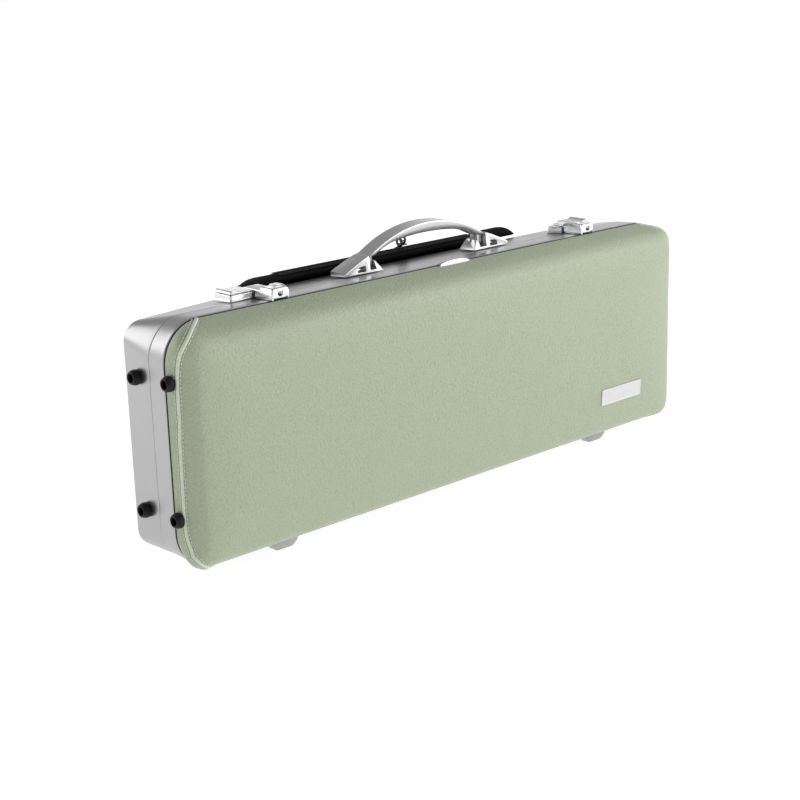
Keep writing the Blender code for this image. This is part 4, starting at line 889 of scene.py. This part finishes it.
def soft_copy(name, node, body, slot, voxel=0.0012, smooth=6, puff=0.0, wander=0.0002, look=None):
    """A softened copy of a CAD solid: remeshed, eased and made slightly uneven."""
    source = frame["nodes"][node]
    mesh = source.data.copy()
    mesh.name = name
    obj = bpy.data.objects.new(name, mesh)
    scene.collection.objects.link(obj)
    obj.data.materials.clear()
    modifier = obj.modifiers.new("remesh", "REMESH")
    modifier.mode = "VOXEL"
    modifier.voxel_size = voxel
    modifier = obj.modifiers.new("ease", "SMOOTH")
    modifier.iterations = smooth
    modifier.factor = 0.5
    graph = bpy.context.evaluated_depsgraph_get()
    made = bpy.data.meshes.new_from_object(obj.evaluated_get(graph))
    obj.modifiers.clear()
    obj.data = made
    made.name = name
    push_out(made, lambda co: noise.noise(co * 60.0) * wander + noise.noise(co * 220.0) * wander * 0.4 + puff)
    made.shade_smooth()
    made.materials.clear()
    made.materials.append(M[look or slot])
    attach(obj, body)
    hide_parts(node)
    return obj


soft_copy("bed_cloth", "violin_bed", "case_back", "lining_grey", 0.0026, 8, -0.0001, 0.00035)
soft_copy("accessory_box_cloth", "accessory_box", "case_back", "lining_grey", 0.0011, 3, 0.0, 0.00012)
soft_copy("neck_cradle_cushion", "neck_cradle", "case_back", "cushion_grey", 0.0013, 9, 0.0, 0.0003)
soft_copy("neck_strap_webbing", "neck_strap", "case_back", "strap_black", 0.0006, 2, 0.0, 0.00005)
for spot in ("lower", "upper"):
    soft_copy(f"bow_tip_sleeve_{spot}", f"bow_tip_pocket_{spot}", "lid", "strap_black", 0.0008, 3, 0.0, 0.0001)


def cushion(name, node):
    """A stuffed pad from its CAD block, blown up by a short cloth simulation."""
    lo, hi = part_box(node)
    centre, size = (lo + hi) / 2, hi - lo
    bm = bmesh.new()
    bmesh.ops.create_cube(bm, size=1.0)
    for v in bm.verts:
        v.co = Vector((v.co.x * (size.x - 0.006), v.co.y * (size.y - 0.0065), v.co.z * (size.z - 0.006))) + centre
    bmesh.ops.bevel(bm, geom=bm.edges[:], offset=0.003, segments=2, affect="EDGES", profile=0.6)
    mesh = bpy.data.meshes.new(name)
    bm.to_mesh(mesh)
    bm.free()
    obj = bpy.data.objects.new(name, mesh)
    scene.collection.objects.link(obj)
    modifier = obj.modifiers.new("remesh", "REMESH")
    modifier.mode = "VOXEL"
    modifier.voxel_size = 0.0032
    graph = bpy.context.evaluated_depsgraph_get()
    made = bpy.data.meshes.new_from_object(obj.evaluated_get(graph))
    obj.modifiers.clear()
    obj.data = made
    start = []
    for v in made.vertices:
        x, y, z = v.co - centre
        a, b = min(abs(x) / (size.x / 2), 1.0), min(abs(z) / (size.z / 2), 1.0)
        crown = (1 - (1 - a**4) * (1 - b**4)) * 0.0042 * min(max(0.5 - y / size.y, 0.0), 1.0)
        start.append(centre + Vector((x * (1 - 0.045 * (1 - b * b)), y + crown, z * (1 - 0.02 * (1 - a * a)))))
    made.vertices.foreach_set("co", [c for q in start for c in q])
    made.update()
    pins = obj.vertex_groups.new(name="pins")
    back = [v.index for v in made.vertices if v.co.y > hi.y - 0.0045]
    pins.add(back, 1.0, "REPLACE")
    cloth = obj.modifiers.new("cloth", "CLOTH")
    cloth.settings.quality = 5
    cloth.settings.mass = 0.2
    cloth.settings.tension_stiffness = 12
    cloth.settings.compression_stiffness = 12
    cloth.settings.bending_stiffness = 0.6
    cloth.settings.use_pressure = True
    cloth.settings.uniform_pressure_force = 4.0
    cloth.settings.vertex_group_mass = "pins"
    cloth.settings.effector_weights.gravity = 0.0
    cloth.collision_settings.use_self_collision = False
    cloth.point_cache.frame_start = 1
    cloth.point_cache.frame_end = 20
    for f in range(1, 21):
        scene.frame_set(f)
    graph = bpy.context.evaluated_depsgraph_get()
    blown = bpy.data.meshes.new_from_object(obj.evaluated_get(graph))
    obj.modifiers.clear()
    obj.vertex_groups.clear()
    obj.data = blown
    made = blown
    scene.frame_set(1)
    for v, rest in zip(made.vertices, start):
        move = v.co - rest
        if move.length > 0.0032:
            v.co = rest + move.normalized() * 0.0032
    for v in made.vertices:
        v.co = (min(max(v.co.x, lo.x), hi.x), max(min(v.co.y, hi.y - 0.0004), lo.y - 0.0008), min(max(v.co.z, lo.z), hi.z))
    made.update()
    push_out(made, lambda co: noise.noise(co * 90.0) * 0.0003)
    obj.modifiers.new("smooth", "SUBSURF").levels = 1
    obj.modifiers["smooth"].render_levels = 1
    made.shade_smooth()
    made.materials.clear()
    made.materials.append(M["cushion_grey"])
    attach(obj, "case_back")
    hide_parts(node)
    # a piped seam round the pad's front edge
    hx, hz, r = size.x / 2 - 0.0016, size.z / 2 - 0.0016, 0.004
    rows = []
    for cx, cz, a0 in ((hx - r, hz - r, 0), (r - hx, hz - r, 90), (r - hx, r - hz, 180), (hx - r, r - hz, 270)):
        for k in range(7):
            a = math.radians(a0 + 15 * k)
            rows.append((Vector((cx + r * math.cos(a), 0.0, cz + r * math.sin(a))), Vector((math.cos(a), 0.0, math.sin(a)))))
        end, away = rows[-1]
        reach = (2 * (hz - r)) if a0 in (90, 270) else (2 * (hx - r))
        ahead = Vector((-away.z, 0.0, away.x))
        count = max(3, int(reach / 0.004))
        for k in range(1, count):
            t = k / count
            rows.append((end + ahead * (reach * t) - away * (0.0007 * math.sin(math.pi * t)), away))
    rings = []
    for q, away in rows:
        c = Vector((centre.x, lo.y + 0.0056, centre.z)) + q
        rings.append([tuple(c + away * (0.001 * math.cos(b)) + Vector((0.0, 0.001 * math.sin(b), 0.0))) for b in [2 * math.pi * j / 8 for j in range(8)]])
    points, faces, uvs = loft_data(rings, True)
    piece(name + "_seam", points, faces, "case_back", "cushion_grey", (), None, uvs, 80, True)
    return obj


cushion("lower_pad", "suspension_pad_lower")
cushion("upper_pad", "suspension_pad_upper")


# ------------------------------------------------------------------ CAD nodes that keep their shape
def dress(node, slot, width=0.00035, segments=3, angle=28.0):
    obj = frame["nodes"][node]
    obj.data.materials.clear()
    obj.data.materials.append(M[slot])
    obj.data.shade_smooth()
    weld = obj.modifiers.new("weld", "WELD")
    weld.merge_threshold = 0.00001
    flat = obj.modifiers.new("flat", "DECIMATE")
    flat.decimate_type = "DISSOLVE"
    flat.angle_limit = math.radians(1.5)
    bevel = obj.modifiers.new("edge", "BEVEL")
    bevel.width = width
    bevel.segments = segments
    bevel.limit_method = "ANGLE"
    bevel.angle_limit = math.radians(angle)
    bevel.harden_normals = True
    bevel.miter_outer = "MITER_ARC"


for node in frame["nodes"]:
    slot = next(s["material_slot"] for s in frame["record"]["subparts"] if s["node"] == node)
    if node.startswith(("handle_bracket",)):
        dress(node, slot, 0.0006, 3, 24)
    elif node.startswith(("latch_base", "latch_slider", "latch_hasp")):
        dress(node, slot, 0.0003, 3, 24)
    elif node.startswith(("latch_mount", "hinge_", "strap_bar", "handle_pin")):
        dress(node, slot, 0.00018, 2, 28)
    elif node.startswith(("foot_", "zip_slider", "bow_spinner", "accessory_lid")):
        dress(node, slot, 0.0003, 2, 28)

# ------------------------------------------------------------------ stage, light, camera
floor_mesh = bpy.data.meshes.new("floor")
bm = bmesh.new()
bmesh.ops.create_circle(bm, cap_ends=True, radius=60.0, segments=128)
bm.to_mesh(floor_mesh)
bm.free()
floor = bpy.data.objects.new("floor", floor_mesh)
scene.collection.objects.link(floor)
pale = Shade("pale_floor")
pale.set(Base_Color=(0.50, 0.50, 0.50), Roughness=0.9)
pale.bsdf.inputs["Specular IOR Level"].default_value = 0.1
pale.bsdf.inputs["Emission Color"].default_value = (1, 1, 1, 1)
pale.bsdf.inputs["Emission Strength"].default_value = 0.78
floor_mesh.materials.append(pale.mat)

world = bpy.data.worlds.new("studio")
scene.world = world
world.use_nodes = True
sky = world.node_tree.nodes
place = sky.new("ShaderNodeTexCoord")
split = sky.new("ShaderNodeSeparateXYZ")
fade = sky.new("ShaderNodeMapRange")
fade.interpolation_type = "SMOOTHSTEP"
far = sky.new("ShaderNodeMath")
far.operation = "ADD"
tilt = sky.new("ShaderNodeMath")
tilt.operation = "MULTIPLY_ADD"
tilt.inputs[1].default_value = 0.16
tilt.inputs[2].default_value = 1.0
both = sky.new("ShaderNodeMath")
both.operation = "MULTIPLY"
for socket, value in (("From Min", 0.10), ("From Max", 0.44), ("To Min", 1.0), ("To Max", 0.35)):
    fade.inputs[socket].default_value = value
world.node_tree.links.new(place.outputs["Generated"], split.inputs["Vector"])
world.node_tree.links.new(split.outputs["Z"], fade.inputs["Value"])
world.node_tree.links.new(split.outputs["X"], far.inputs[0])
world.node_tree.links.new(split.outputs["Y"], far.inputs[1])
world.node_tree.links.new(far.outputs["Value"], tilt.inputs[0])
world.node_tree.links.new(tilt.outputs["Value"], both.inputs[0])
world.node_tree.links.new(fade.outputs["Result"], both.inputs[1])
world.node_tree.links.new(both.outputs["Value"], sky["Background"].inputs["Strength"])
sky["Background"].inputs["Color"].default_value = (1, 1, 1, 1)


def softbox(name, place, target, width, height, watts):
    light = bpy.data.lights.new(name, "AREA")
    light.shape = "RECTANGLE"
    light.size, light.size_y = width, height
    light.energy = watts
    obj = bpy.data.objects.new(name, light)
    scene.collection.objects.link(obj)
    obj.location = place
    obj.visible_camera = False
    obj.rotation_euler = (Vector(target) - Vector(place)).to_track_quat("-Z", "Y").to_euler()
    return obj


softbox("key", (2.75, -2.4, 2.0), (0.12, 0.0, 0.2), 5.8, 4.0, 109)
softbox("accent", (0.95, -0.95, 0.8), (0.15, 0.0, 0.18), 0.6, 0.6, 3.2)
softbox("corner", (-1.6, 1.8, 1.43), (-0.4, 0.0, 0.25), 1.7, 1.6, 17)

camera = bpy.data.cameras.new("camera")
camera.sensor_width = 36.0
camera.sensor_fit = "HORIZONTAL"
camera.lens = 71.51738
camera.clip_start, camera.clip_end = 0.05, 200.0
seen = bpy.data.objects.new("camera", camera)
scene.collection.objects.link(seen)
seen.location = (-1.2806033, -1.3446431, 0.6425504)
seen.rotation_euler = (1.2928, 0.0288, -0.7560)
scene.camera = seen
scene.view_settings.view_transform = "Standard"
